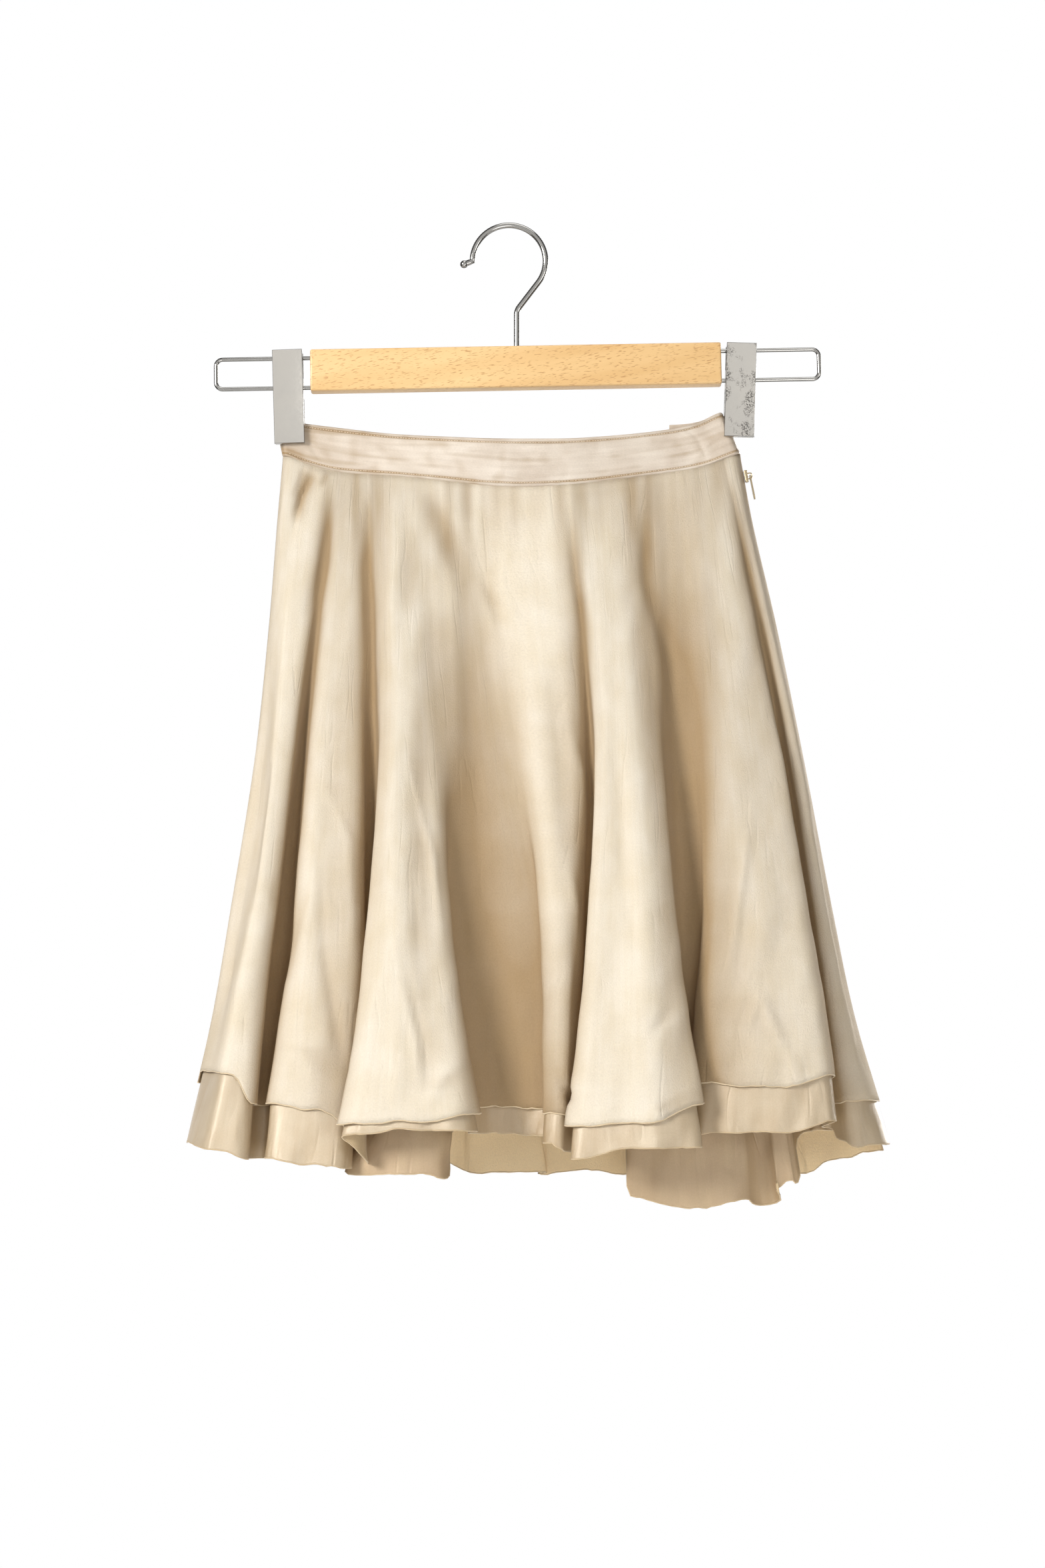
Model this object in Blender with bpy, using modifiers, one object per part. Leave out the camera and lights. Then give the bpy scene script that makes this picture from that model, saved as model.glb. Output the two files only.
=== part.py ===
"""Mini skirt on a clip hanger.

A satin waistband carries three gored layers: chiffon outside, a longer satin
layer under it and a lining inside. The folds open from the band to the hems.
A zip lies in the side seam at +X. Two spring clips on a wooden bar hold the band.

Tables are in millimetres. The origin is the inner top of the hook, where it
rests on its rail. +X is to the right seen from the front, the front faces -Y,
and a drop is the distance below the origin.
"""

import math
from collections import namedtuple

import bmesh
import bpy
from mathutils import Matrix, Vector

NAME = "mini_skirt_on_clip_hanger"
MM = 0.001
GAP = 0.3                 # between neighbouring pieces
HALF_SEAM = GAP / 2

# Cloth walls, each millimetre thick as it hangs
BAND_WALL = 2.2
LAYER_WALL = 1.05

# The pinched waist is thin, and the band opens to a lens between the clips
PINCH_DEPTH = 4.8         # from the middle plane to the band's face at a clip
LENS_DEPTH = 7.6          # how much further it stands off at the middle
LENS_HALF = 125.0
BAND_STEP = 0.4           # the outer layer starts this much behind the band's face
TOP_GAP = 0.45            # from the band's lower edge to the layers
SIDE_RADIUS = PINCH_DEPTH - BAND_STEP

# Folds
FULL_DROP = 600.0         # folds reach their stated depth here
GROWTH_POWER = 1.1
LIP_RADIUS = 6.0          # of a fold's rolled edge at the hem
LIP_SHARES = (0.14, 0.22)      # of a fold's width that rolls: at the band, most at the hem
LIP_RISE = 0.7            # of the way from a fold's edge to its crest
CREST_SHARES = (0.38, 0.66)    # of a fold's width, between which it is flat
VALLEY_SHARES = (0.35, 0.65)   # of a valley's width, between which its floor is flat
VALLEY_SLOPE = 0.25       # of a valley's width that each of its flanks takes at the band
FLANK_RUN = 1.7           # lip radii that a flank runs back from its edge
HEM_TURN = 0.85           # of the way from an edge's hem to the valley's, at a flank's foot
SIDE_DEPTH = SIDE_RADIUS * math.sqrt(0.5)      # of the point halfway round a side
SIDE_TURN = SIDE_RADIUS - SIDE_DEPTH
LEAST_DEPTH = 0.6         # of any point but those on the side seams
LEVELS = (155, 200, 270, 360, 460, 530, 600)
SIDE_LEFT = (-150.6, -154.2, -159.2, -168, -183, -194.5, -210)
SIDE_RIGHT = (154.2, 162, 177.5, 195, 213, 227, 247)
ROW_SHARES = (0, 0.05, 0.14, 0.3, 0.47, 0.65, 0.83, 1)
INSET_RUN = 120.0         # the layers part to their full spacing over this drop
LINING_EASE = 2.5         # more room at the lining's side seams, at its hem

# A row for each fold, left to right. left and right are its edges at LEVELS.
# The depths are at FULL_DROP: of each edge, of the crest, and of the valley
# floor to its right. hook_l and hook_r say how far a flank runs back under its
# edge. over is 1 where the fold's right edge lies over its neighbour, -1 where
# the neighbour lies over it. flare is how far the hem's edges curl outwards.
Fold = namedtuple("Fold", "name left right edge_l crest edge_r floor hook_l hook_r over flare")
FRONT_FOLDS = (
    Fold("a", (-147.5, -151.5, -156.5, -161.5, -174, -189, -206),
         (-120, -124, -132, -141, -150, -157.5, -163), 18, 50, 42, 20, 0, 3, 0, 1),
    Fold("b", (-112, -115.5, -122, -130.5, -138, -147.5, -156),
         (-98, -98, -97, -94.5, -93, -94, -97), 44, 54, 44, 28, 3, 3, -1, 1),
    Fold("c", (-88, -87, -84, -84, -91, -96, -104),
         (-53, -52, -50, -43.5, -37, -30, -21), 62, 72, 58, 33, 4, 4, 0, 5),
    Fold("d", (-17, -13, -3, 8.5, 20.5, 23, 22),
         (34, 37, 43, 50, 49, 46, 44), 48, 56, 44, 35, 3, 0, -1, 1),
    Fold("e", (44, 48, 53, 56, 51.5, 46.5, 41),
         (89.5, 90.5, 93, 99.5, 108, 115.5, 122), 62, 72, 62, 30, 4, 4, 1, 5),
    Fold("f", (116, 119, 122, 124.5, 126, 119, 115),
         (140, 149, 163, 180, 195, 205, 213), 42, 54, 42, 14, 2, 5, 1, 1),
    Fold("g", (144.5, 154, 168, 183, 196, 204, 211),
         (150, 160, 174.5, 192, 209, 222, 236), 17, 24, 20, 0, -2, 0, 0, 1),
)
BACK_FOLDS = (
    Fold("h", (-147.5, -151.5, -156, -163, -177, -189, -205),
         (-116, -118, -121, -125, -129, -131, -135), 16, 44, 38, 26, 0, 3, 0, 1),
    Fold("i", (-104, -106, -109, -112, -113, -113, -116),
         (-62, -61, -59, -56, -54, -52, -48), 46, 60, 50, 30, 3, 3, 0, 3),
    Fold("j", (-50, -48, -45, -42, -36, -34, -34),
         (-14, -13, -10, -6, -2, 2, 10), 46, 56, 46, 32, 3, 3, 0, 3),
    Fold("k", (-2, 0, 5, 12, 20, 26, 30),
         (40, 41, 44, 50, 58, 62, 70), 52, 66, 54, 30, 3, 3, 0, 3),
    Fold("l", (50, 52, 58, 64, 74, 82, 86),
         (94, 97, 104, 112, 124, 134, 146), 48, 60, 46, 26, 3, 3, 0, 2),
    Fold("m", (106, 109, 117, 126, 140, 150, 156),
         (150, 158, 172, 188, 205, 217, 233), 34, 44, 24, 0, 3, 0, 0, 1),
)
LINING_FRONT_FOLDS = (
    Fold("n", (-147.5, -151, -155, -160, -172, -183, -197),
         (-104, -106, -109, -112, -115, -117, -120), 14, 19, 18, 17, 0, -3, 0, 1),
    Fold("o", (-84, -83, -80, -79, -82, -85, -88),
         (-50, -49, -47, -44, -41, -39, -37), 36, 48, 36, 17, -3, -3, 0, 8),
    Fold("p", (60, 61, 63, 66, 70, 73, 76),
         (110, 114, 120, 128, 139, 147, 153), 23, 27, 24, 20, -3, -3, 0, 2),
    Fold("q", (120, 124, 131, 140, 151, 160, 168),
         (130, 136, 144, 154, 166, 176, 186), 24, 25, 20, 11, -3, -3, 0, 1),
    Fold("r", (138, 145, 155, 167, 181, 192, 203),
         (149, 156, 169, 184, 201, 212, 228), 11, 12, 11, 0, -2, 0, 0, 1),
)
LINING_BACK_FOLDS = (
    Fold("s", (-147.5, -151, -155, -161, -173, -184, -197),
         (-112, -113, -114, -116, -118, -119, -121), 13, 22, 21, 18, 0, -3, 0, 1),
    Fold("t", (-96, -97, -98, -100, -101, -102, -103),
         (-42, -41, -39, -36, -33, -30, -27), 25, 28, 25, 19, -3, -3, 0, 3),
    Fold("u", (-14, -12, -7, 0, 8, 14, 20),
         (46, 47, 50, 55, 63, 69, 76), 26, 29, 26, 19, -3, -3, 0, 3),
    Fold("v", (60, 62, 67, 75, 86, 94, 102),
         (116, 119, 126, 136, 148, 158, 169), 24, 26, 22, 16, -3, -3, 0, 3),
    Fold("w", (128, 132, 141, 152, 166, 177, 190),
         (149, 156, 170, 186, 203, 215, 230), 18, 18, 13, 0, -3, 0, 0, 1),
)

# Hem drops of each fold: left edge, middle, right edge, valley floor to its right
HEM_CHIFFON_FRONT = (
    (565, 568, 587, 587), (587, 590, 605, 601), (601, 599, 594, 589), (593, 594, 598, 598),
    (602, 600, 588, 580), (574, 576, 569, 575), (587, 584, 584, 584))
HEM_SATIN_FRONT = (
    (611, 617, 622, 621), (622, 625, 629, 626), (608, 604, 605, 606), (612, 616, 618, 616),
    (623, 616, 615, 609), (607, 605, 598, 602), (610, 614, 612, 612))
HEM_CHIFFON_BACK = (
    (572, 580, 590, 588), (592, 594, 596, 590), (594, 595, 596, 590), (596, 596, 594, 588),
    (592, 590, 586, 582), (586, 585, 583, 583))
HEM_SATIN_BACK = (
    (604, 608, 612, 604), (612, 613, 612, 604), (612, 612, 612, 604), (612, 612, 610, 603),
    (610, 608, 606, 602), (606, 606, 608, 608))
HEM_LINING_FRONT = (
    (600, 605, 607, 600), (633, 631, 635, 597), (648, 653, 647, 652), (641, 635, 638, 604),
    (603, 602, 611, 614))
HEM_LINING_BACK = (
    (600, 606, 608, 608), (612, 618, 628, 630), (632, 629, 632, 630), (634, 632, 632, 630),
    (630, 622, 616, 616))

# The band's stations, left to right: its upper and lower edge
Station = namedtuple("Station", "x_top drop_top x_low drop_low")
BAND_STATIONS = (
    Station(-156.5, 131.0, -151.0, 156.2), Station(-151.8, 131.9, -146.2, 157.0),
    Station(-136.0, 134.5, -133.5, 162.4), Station(-114.4, 137.3, -114.0, 167.5),
    Station(-78.0, 142.0, -76.0, 171.0), Station(-46.0, 144.3, -45.0, 174.4),
    Station(-15.0, 145.9, -15.0, 178.0), Station(12.0, 146.2, 12.0, 178.8),
    Station(47.0, 145.3, 48.0, 176.5), Station(94.0, 140.4, 95.0, 169.8),
    Station(123.0, 134.9, 129.5, 163.8), Station(138.0, 128.0, 150.0, 156.2),
    Station(142.4, 126.4, 154.6, 154.4))
BAND_ROWS = (0, 0.33, 0.67, 1)
BAND_STEPS = 2            # columns for each station

# The end of the back band that runs on inside the front band, under the zip side
UNDERLAP = (107.0, 132.0)
UNDERLAP_RISE = 3.2
UNDERLAP_WALL = 1.8
UNDERLAP_STEPS = 5

# Hanger
BAR_LENGTH, BAR_HEIGHT, BAR_DEPTH = 274.5, 28.2, 13.0
BAR_CENTRE = (4.6, -96.0)
BAR_TILT = math.radians(1.02)
BAR_EASE = 1.4
WIRE_RADIUS = 1.4
WIRE_UPPER, WIRE_LOWER = 9.3, -10.9
LOOP_REACH = {"left": 202.0, "right": 204.2}
LOOP_CORNER = 4.6
SOCKET_DEPTH = 14.0
HOOK_RADIUS, HOOK_WIRE = 24.5, 1.9
HOOK_SWEEP = math.radians(36.9)
STEM_X, STEM_BEND, STEM_SEAT = 5.2, 9.0, 18.0
TIP_BALL = 2.6
HOOK_TIP = ((-26.4, -23.4), (-30.2, -24.9))
CLIP_WIDTH, CLIP_HEIGHT, CLIP_SHEET = 20.0, 63.6, 1.2
CLIP_FACE = 8.6           # from the middle plane to a plate's outer face
CLIP_CENTRE = {"left": (-147.0, -116.8), "right": (154.4, -112.2)}
CLIP_LEAN = {"left": -math.radians(1.98), "right": math.radians(1.98)}
EAR_HALF = 6.0
SPRING_RADIUS, SPRING_LENGTH = 3.0, 15.6

# Zip
SLIDER_DROP, SLIDER_SIZE = 169.5, (2.4, 4.4, 8.0)
SLIDER_LEAN = -math.radians(9.5)
SLIDER_EASE = 0.6
BAIL_RADIUS, BAIL_RISE, BAIL_HALF = 0.45, 2.6, 1.9
BAIL_BEND = ((1.0, 0), (0.3, 0.3), (0, 1.0))     # below the bail's top, in from its leg
PULL_AT = (1.4, -0.3)     # of the pull's hinge: out from the slider's face, up from its middle
PULL_LENGTH, PULL_HALF, PULL_THICK = 16.0, 2.5, 0.9
PULL_NECK, PULL_CROWN = 1.9, 0.5
PULL_STEPS = 6
PULL_LEAN = -math.radians(11.0)
WINDOW_HALF, WINDOW_TOP, WINDOW_END = 1.2, 0.5, 3.2

CHIFFON = ("chiffon", (0.80, 0.70, 0.54, 1), 0.85, 0)
SATIN = ("satin", (0.78, 0.67, 0.50, 1), 0.4, 0)
LINING = ("lining", (0.74, 0.62, 0.42, 1), 0.6, 0)
WOOD = ("beech", (0.80, 0.52, 0.26, 1), 0.5, 0)
CHROME = ("chrome", (0.80, 0.80, 0.80, 1), 0.15, 1)
NICKEL = ("nickel", (0.70, 0.66, 0.58, 1), 0.3, 1)


def mix(a, b, share):
    return a + (b - a) * share


def smoothstep(low, high, value):
    share = min(1, max(0, (value - low) / (high - low)))
    return share * share * (3 - 2 * share)


def smooth_value(stations, values, at):
    """A cubic through the values, running straight on past both ends."""
    count = len(stations)
    slopes = [(values[min(i + 1, count - 1)] - values[max(i - 1, 0)])
              / (stations[min(i + 1, count - 1)] - stations[max(i - 1, 0)])
              for i in range(count)]
    if at <= stations[0]:
        return values[0] + slopes[0] * (at - stations[0])
    if at >= stations[-1]:
        return values[-1] + slopes[-1] * (at - stations[-1])
    i = max(k for k in range(count - 1) if stations[k] <= at)
    span = stations[i + 1] - stations[i]
    s = (at - stations[i]) / span
    rise, fall = s * s * (3 - 2 * s), s * (1 - s)
    return (mix(values[i], values[i + 1], rise)
            + span * fall * ((1 - s) * slopes[i] - s * slopes[i + 1]))


def band_depth(x):
    """How far the band's face stands off the middle plane."""
    share = min(1, abs(x) / LENS_HALF)
    return PINCH_DEPTH + LENS_DEPTH * (1 - share * share) ** 2


def band_lower_drop(x):
    return smooth_value([s.x_low for s in BAND_STATIONS],
                        [s.drop_low for s in BAND_STATIONS], x)


def opening_share(level):
    """How far the fold edges have rolled over at a level."""
    return smoothstep(0.25, 0.8, (level - LEVELS[0]) / (FULL_DROP - LEVELS[0]))


class Column:
    """One line of a panel, from the band to the hem."""

    def __init__(self, xs, depth, hem, top_depth=None, flare=0):
        self.xs = xs
        self.depth = depth
        self.hem = hem
        self.flare = flare
        self.top = band_lower_drop(xs[0]) + TOP_GAP
        self.top_depth = band_depth(xs[0]) - BAND_STEP if top_depth is None else top_depth

    def point(self, drop, flare_share=0):
        """(x, depth) at a drop."""
        grown = max(0, (drop - self.top) / (FULL_DROP - self.top)) ** GROWTH_POWER
        x = smooth_value(LEVELS, self.xs, drop) + self.flare * flare_share
        return x, mix(self.top_depth, self.depth, grown)


def flank_foot(edge, floor):
    """The depth where the flank under a fold's edge meets the valley's slope."""
    return max(edge - FLANK_RUN * LIP_RADIUS, (edge + floor) / 2)


def fold_columns(folds, hems, side_left, side_right):
    """The columns of a panel, from its left seam to its right seam."""
    columns = [
        Column(side_left, HALF_SEAM, hems[0][0], HALF_SEAM),
        Column([x + SIDE_TURN for x in side_left], folds[0].edge_l / 2, hems[0][0], SIDE_DEPTH),
    ]
    levels = range(len(LEVELS))
    opened = [opening_share(level) for level in LEVELS]
    for i, (fold, hem) in enumerate(zip(folds, hems)):
        width = [fold.right[k] - fold.left[k] for k in levels]
        roll = [mix(LIP_SHARES[0] * width[k], min(LIP_RADIUS, LIP_SHARES[1] * width[k]), opened[k])
                for k in levels]
        first, last = i == 0, i == len(folds) - 1
        lip_l = mix(fold.edge_l, fold.crest, LIP_RISE)
        lip_r = mix(fold.edge_r, fold.crest, LIP_RISE)
        if not first:
            before = folds[i - 1]
            gap = [max(0.5, fold.left[k] - before.right[k]) for k in levels]
            edge = [max(fold.left[k], before.right[k]) if before.over < 0 else fold.left[k]
                    for k in levels]
            back = [mix(fold.left[k] - VALLEY_SLOPE * gap[k], edge[k] + fold.hook_l, opened[k])
                    for k in levels]
            under = flank_foot(fold.edge_l, before.floor)
            start = columns[-1]
            floor_hem = hems[i - 1][3]
            for share in VALLEY_SHARES:
                xs = [mix(start.xs[k], back[k], share) for k in levels]
                columns.append(Column(xs, before.floor, floor_hem))
            columns.append(Column(back, under, mix(hem[0], floor_hem, HEM_TURN)))
        columns.append(Column(fold.left, fold.edge_l, hem[0], flare=-fold.flare))
        if not first:
            xs = [fold.left[k] + roll[k] for k in levels]
            columns.append(Column(xs, lip_l, hem[0], flare=-fold.flare / 2))
        for share in CREST_SHARES:
            xs = [fold.left[k] + share * width[k] for k in levels]
            columns.append(Column(xs, fold.crest, hem[1]))
        if not last:
            xs = [fold.right[k] - roll[k] for k in levels]
            columns.append(Column(xs, lip_r, hem[2], flare=fold.flare / 2))
        columns.append(Column(fold.right, fold.edge_r, hem[2], flare=fold.flare))
        if not last:
            after = folds[i + 1]
            gap = [max(0.5, after.left[k] - fold.right[k]) for k in levels]
            edge = [min(fold.right[k], after.left[k]) if fold.over > 0 else fold.right[k]
                    for k in levels]
            back = [mix(fold.right[k] + VALLEY_SLOPE * gap[k], edge[k] - fold.hook_r, opened[k])
                    for k in levels]
            under = flank_foot(fold.edge_r, fold.floor)
            columns.append(Column(back, under, mix(hem[2], hem[3], HEM_TURN)))
    columns += [
        Column([x - SIDE_TURN for x in side_right], folds[-1].edge_r / 2, hems[-1][2], SIDE_DEPTH),
        Column(side_right, HALF_SEAM, hems[-1][2], HALF_SEAM),
    ]
    return columns


def inset_row(row, distances):
    """Moves a row of (x, depth) points inwards, square to the row."""
    moved = []
    for i, (x, depth) in enumerate(row):
        if i in (0, len(row) - 1):
            side = 1 if i == 0 else -1
            moved.append((x + side * distances[i], depth))
            continue
        before = Vector((x - row[i - 1][0], depth - row[i - 1][1])).normalized()
        after = Vector((row[i + 1][0] - x, row[i + 1][1] - depth)).normalized()
        normal = Vector((-(before.y + after.y), before.x + after.x))
        if normal.length < 1e-6:
            normal = Vector((-before.y, before.x))
        normal.normalize()
        inner = max(LEAST_DEPTH, depth - normal.y * distances[i])
        moved.append((x - normal.x * distances[i], inner))
    return moved


Layer = namedtuple("Layer", "top_inset low_inset flare")
CHIFFON_LAYER = Layer(0, 0, 1)
SATIN_LAYER = Layer(LAYER_WALL + GAP, 2.2, 0.6)
LINING_LAYER = Layer(2 * (LAYER_WALL + GAP), 4.2, 1)


def layer_inset(layer, column, drop):
    return mix(layer.top_inset, layer.low_inset, smoothstep(0, INSET_RUN, drop - column.top))


def panel_rows(columns, hems_below, layer):
    """Outer and inner points (x, depth, drop) of a layer, row by row."""
    outer, inner = [], []
    steps = [(share, None) for share in ROW_SHARES]
    if hems_below:
        steps.append((1, hems_below))
    for number, (share, below) in enumerate(steps):
        last = number == len(steps) - 1
        drops = [c.top + share * (c.hem - c.top) for c in columns]
        if below:
            drops = below
        flare = layer.flare if last else 0
        row = [c.point(d, flare) for c, d in zip(columns, drops)]
        inset = [layer_inset(layer, c, d) for c, d in zip(columns, drops)]
        face = inset_row(row, inset)
        back = inset_row(row, [d + LAYER_WALL for d in inset])
        outer.append([(x, depth, d) for (x, depth), d in zip(face, drops)])
        inner.append([(x, depth, d) for (x, depth), d in zip(back, drops)])
    return outer, inner


def grid_solid(name, outer, inner, side, material):
    """A closed wall between two grids of points; side is -1 for the front."""
    bm = bmesh.new()
    grids = [[[bm.verts.new((x * MM, side * depth * MM, -drop * MM)) for x, depth, drop in row]
              for row in grid] for grid in (outer, inner)]
    rows, columns = len(outer), len(outer[0])
    for grid in grids:
        for r in range(rows - 1):
            for c in range(columns - 1):
                bm.faces.new((grid[r][c], grid[r][c + 1], grid[r + 1][c + 1], grid[r + 1][c]))
    rim = ([(0, c) for c in range(columns)] + [(r, columns - 1) for r in range(1, rows)]
           + [(rows - 1, c) for c in range(columns - 2, -1, -1)]
           + [(r, 0) for r in range(rows - 2, 0, -1)])
    face, back = grids
    for (r, c), (r2, c2) in zip(rim, rim[1:] + rim[:1]):
        bm.faces.new((face[r][c], face[r2][c2], back[r2][c2], back[r][c]))
    bmesh.ops.recalc_face_normals(bm, faces=bm.faces)
    mesh = bpy.data.meshes.new(name)
    bm.to_mesh(mesh)
    bm.free()
    mesh.shade_smooth()
    mesh.set_sharp_from_angle(angle=math.radians(60))
    return add_object(name, mesh, material)


def clear_scene():
    for ob in list(bpy.data.objects):
        bpy.data.objects.remove(ob, do_unlink=True)


def get_collection(name):
    collection = bpy.data.collections.get(name)
    if collection is None:
        collection = bpy.data.collections.new(name)
        bpy.context.scene.collection.children.link(collection)
    return collection


def get_material(look):
    name, colour, roughness, metallic = look
    material = bpy.data.materials.get(name)
    if material is None:
        material = bpy.data.materials.new(name)
        material.use_nodes = True
        shader = material.node_tree.nodes["Principled BSDF"]
        shader.inputs["Base Color"].default_value = colour
        shader.inputs["Roughness"].default_value = roughness
        shader.inputs["Metallic"].default_value = metallic
    return material


def add_object(name, data, look):
    ob = bpy.data.objects.new(name, data)
    data.materials.append(get_material(look))
    get_collection(NAME).objects.link(ob)
    return ob


def make_cutter(ob):
    ob.hide_render = True
    ob.display_type = "WIRE"
    for collection in ob.users_collection:
        collection.objects.unlink(ob)
    get_collection("cutters").objects.link(ob)
    return ob


def box(name, size, place, turn=0, look=None):
    """A box of a size in mm, centred at a place and turned about Y."""
    bm = bmesh.new()
    bmesh.ops.create_cube(bm, size=1)
    bmesh.ops.scale(bm, vec=[s * MM for s in size], verts=bm.verts)
    mesh = bpy.data.meshes.new(name)
    bm.to_mesh(mesh)
    bm.free()
    ob = add_object(name, mesh, look or CHROME)
    ob.location = [p * MM for p in place]
    ob.rotation_euler = (0, turn, 0)
    return ob


def rod(name, radius, length, place, direction, look=None, sides=20):
    """A round rod centred at a place, along a direction."""
    bm = bmesh.new()
    bmesh.ops.create_cone(bm, cap_ends=True, segments=sides, radius1=radius * MM,
                          radius2=radius * MM, depth=length * MM)
    mesh = bpy.data.meshes.new(name)
    bm.to_mesh(mesh)
    bm.free()
    ob = add_object(name, mesh, look or CHROME)
    ob.rotation_euler = Vector(direction).to_track_quat("Z", "Y").to_euler()
    ob.location = [p * MM for p in place]
    return ob


def cut(ob, cutters, operation="DIFFERENCE"):
    for cutter in cutters:
        make_cutter(cutter)
        modifier = ob.modifiers.new(cutter.name, "BOOLEAN")
        modifier.operation = operation
        modifier.solver = "EXACT"
        modifier.object = cutter


def wire(name, points, radius, look):
    """A round wire through points (x, y, z) in mm."""
    curve = bpy.data.curves.new(name, "CURVE")
    curve.dimensions = "3D"
    curve.bevel_depth = radius * MM
    curve.bevel_resolution = 2
    curve.use_fill_caps = True
    spline = curve.splines.new("POLY")
    spline.points.add(len(points) - 1)
    for knot, point in zip(spline.points, points):
        knot.co = (point[0] * MM, point[1] * MM, point[2] * MM, 1)
    return add_object(name, curve, look)


def wire_mesh(ob, weld=0.00005):
    """The wire as a closed mesh that can be joined or cut."""
    name, look = ob.name, ob.data.materials[0]
    depsgraph = bpy.context.evaluated_depsgraph_get()
    mesh = bpy.data.meshes.new_from_object(ob.evaluated_get(depsgraph))
    bm = bmesh.new()
    bm.from_mesh(mesh)
    bmesh.ops.remove_doubles(bm, verts=bm.verts, dist=weld)
    bmesh.ops.recalc_face_normals(bm, faces=bm.faces)
    bm.to_mesh(mesh)
    bm.free()
    matrix = ob.matrix_world.copy()
    bpy.data.objects.remove(ob, do_unlink=True)
    joined = bpy.data.objects.new(name, mesh)
    joined.matrix_world = matrix
    if not mesh.materials:
        mesh.materials.append(look)
    get_collection(NAME).objects.link(joined)
    return joined


def arc(centre, radius, start, end, steps):
    """Points (x, z) along an arc, both ends included, angles from +X to +Z."""
    return [(centre[0] + radius * math.cos(mix(start, end, i / steps)),
             centre[1] + radius * math.sin(mix(start, end, i / steps)))
            for i in range(steps + 1)]


def from_bar(x, z):
    """A point of the hanger's own frame, whose middle is the bar's, in the world."""
    c, s = math.cos(BAR_TILT), math.sin(BAR_TILT)
    return BAR_CENTRE[0] + x * c - z * s, BAR_CENTRE[1] + x * s + z * c


def make_panel(name, folds, hems, side, layer, look, hems_below=None, ease=0):
    sides = [[x + sign * ease * (level - LEVELS[0]) / (FULL_DROP - LEVELS[0])
              for x, level in zip(xs, LEVELS)] for xs, sign in ((SIDE_LEFT, 1), (SIDE_RIGHT, -1))]
    columns = fold_columns(folds, hems, *sides)
    below = None
    if hems_below:
        below = [c.hem for c in fold_columns(folds, hems_below, *sides)]
    outer, inner = panel_rows(columns, below, layer)
    return grid_solid(name, outer, inner, side, look)


def make_skirt():
    make_panel("chiffon_front", FRONT_FOLDS, HEM_CHIFFON_FRONT, -1, CHIFFON_LAYER, CHIFFON)
    make_panel("chiffon_back", BACK_FOLDS, HEM_CHIFFON_BACK, 1, CHIFFON_LAYER, CHIFFON)
    make_panel("satin_front", FRONT_FOLDS, HEM_CHIFFON_FRONT, -1, SATIN_LAYER, SATIN,
               HEM_SATIN_FRONT)
    make_panel("satin_back", BACK_FOLDS, HEM_CHIFFON_BACK, 1, SATIN_LAYER, SATIN,
               HEM_SATIN_BACK)
    make_panel("lining_front", LINING_FRONT_FOLDS, HEM_LINING_FRONT, -1, LINING_LAYER, LINING,
               ease=LINING_EASE)
    make_panel("lining_back", LINING_BACK_FOLDS, HEM_LINING_BACK, 1, LINING_LAYER, LINING,
               ease=LINING_EASE)


def band_line(share):
    """(x, drop) of the band's line at a share of its width, at each of its columns."""
    last = len(BAND_STATIONS) - 1
    spots = [0] + [1 + i / BAND_STEPS for i in range((last - 2) * BAND_STEPS + 1)] + [last]
    numbers = range(last + 1)
    xs = [mix(s.x_top, s.x_low, share) for s in BAND_STATIONS]
    drops = [mix(s.drop_top, s.drop_low, share) for s in BAND_STATIONS]
    line = []
    for spot in spots:
        x = smooth_value(numbers, xs, spot)
        line.append((x, smooth_value(xs, drops, x)))
    return line


def band_rows(wall_from, wall_to):
    """Outer and inner grids of a band whose wall lies between two insets."""
    outer, inner = [], []
    turn = PINCH_DEPTH * math.sqrt(0.5)
    for share in BAND_ROWS:
        line = band_line(share)
        row = [(x, band_depth(x)) for x, _ in line[1:-1]]
        (left, left_drop), (right, right_drop) = line[0], line[-1]
        row = ([(left, HALF_SEAM), (left + PINCH_DEPTH - turn, turn)] + row
               + [(right - PINCH_DEPTH + turn, turn), (right, HALF_SEAM)])
        drops = ([left_drop] * 2 + [drop for _, drop in line[1:-1]] + [right_drop] * 2)
        for grid, inset in ((outer, wall_from), (inner, wall_to)):
            moved = inset_row(row, [inset] * len(row))
            grid.append([(x, depth, drop) for (x, depth), drop in zip(moved, drops)])
    return outer, inner


def make_waistband():
    outer, inner = band_rows(0, BAND_WALL)
    grid_solid("waistband_front", outer, inner, -1, SATIN)
    grid_solid("waistband_back", outer, inner, 1, SATIN)
    make_underlap()


def make_underlap():
    """The tab on the back band's end, just inside the front band."""
    start, end = UNDERLAP
    outer, inner = [], []
    tops = ([s.x_top for s in BAND_STATIONS], [s.drop_top for s in BAND_STATIONS])
    for share in BAND_ROWS:
        rows = ([], [])
        for i in range(UNDERLAP_STEPS + 1):
            x = mix(start, end, i / UNDERLAP_STEPS)
            rise = UNDERLAP_RISE * (1 - i / UNDERLAP_STEPS)
            top = smooth_value(*tops, x) - rise
            drop = mix(top, band_lower_drop(x) - GAP, share)
            depth = band_depth(x) - BAND_WALL - GAP
            rows[0].append((x, depth, drop))
            rows[1].append((x, depth - UNDERLAP_WALL, drop))
        outer.append(rows[0])
        inner.append(rows[1])
    grid_solid("waistband_underlap", outer, inner, -1, SATIN)


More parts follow.
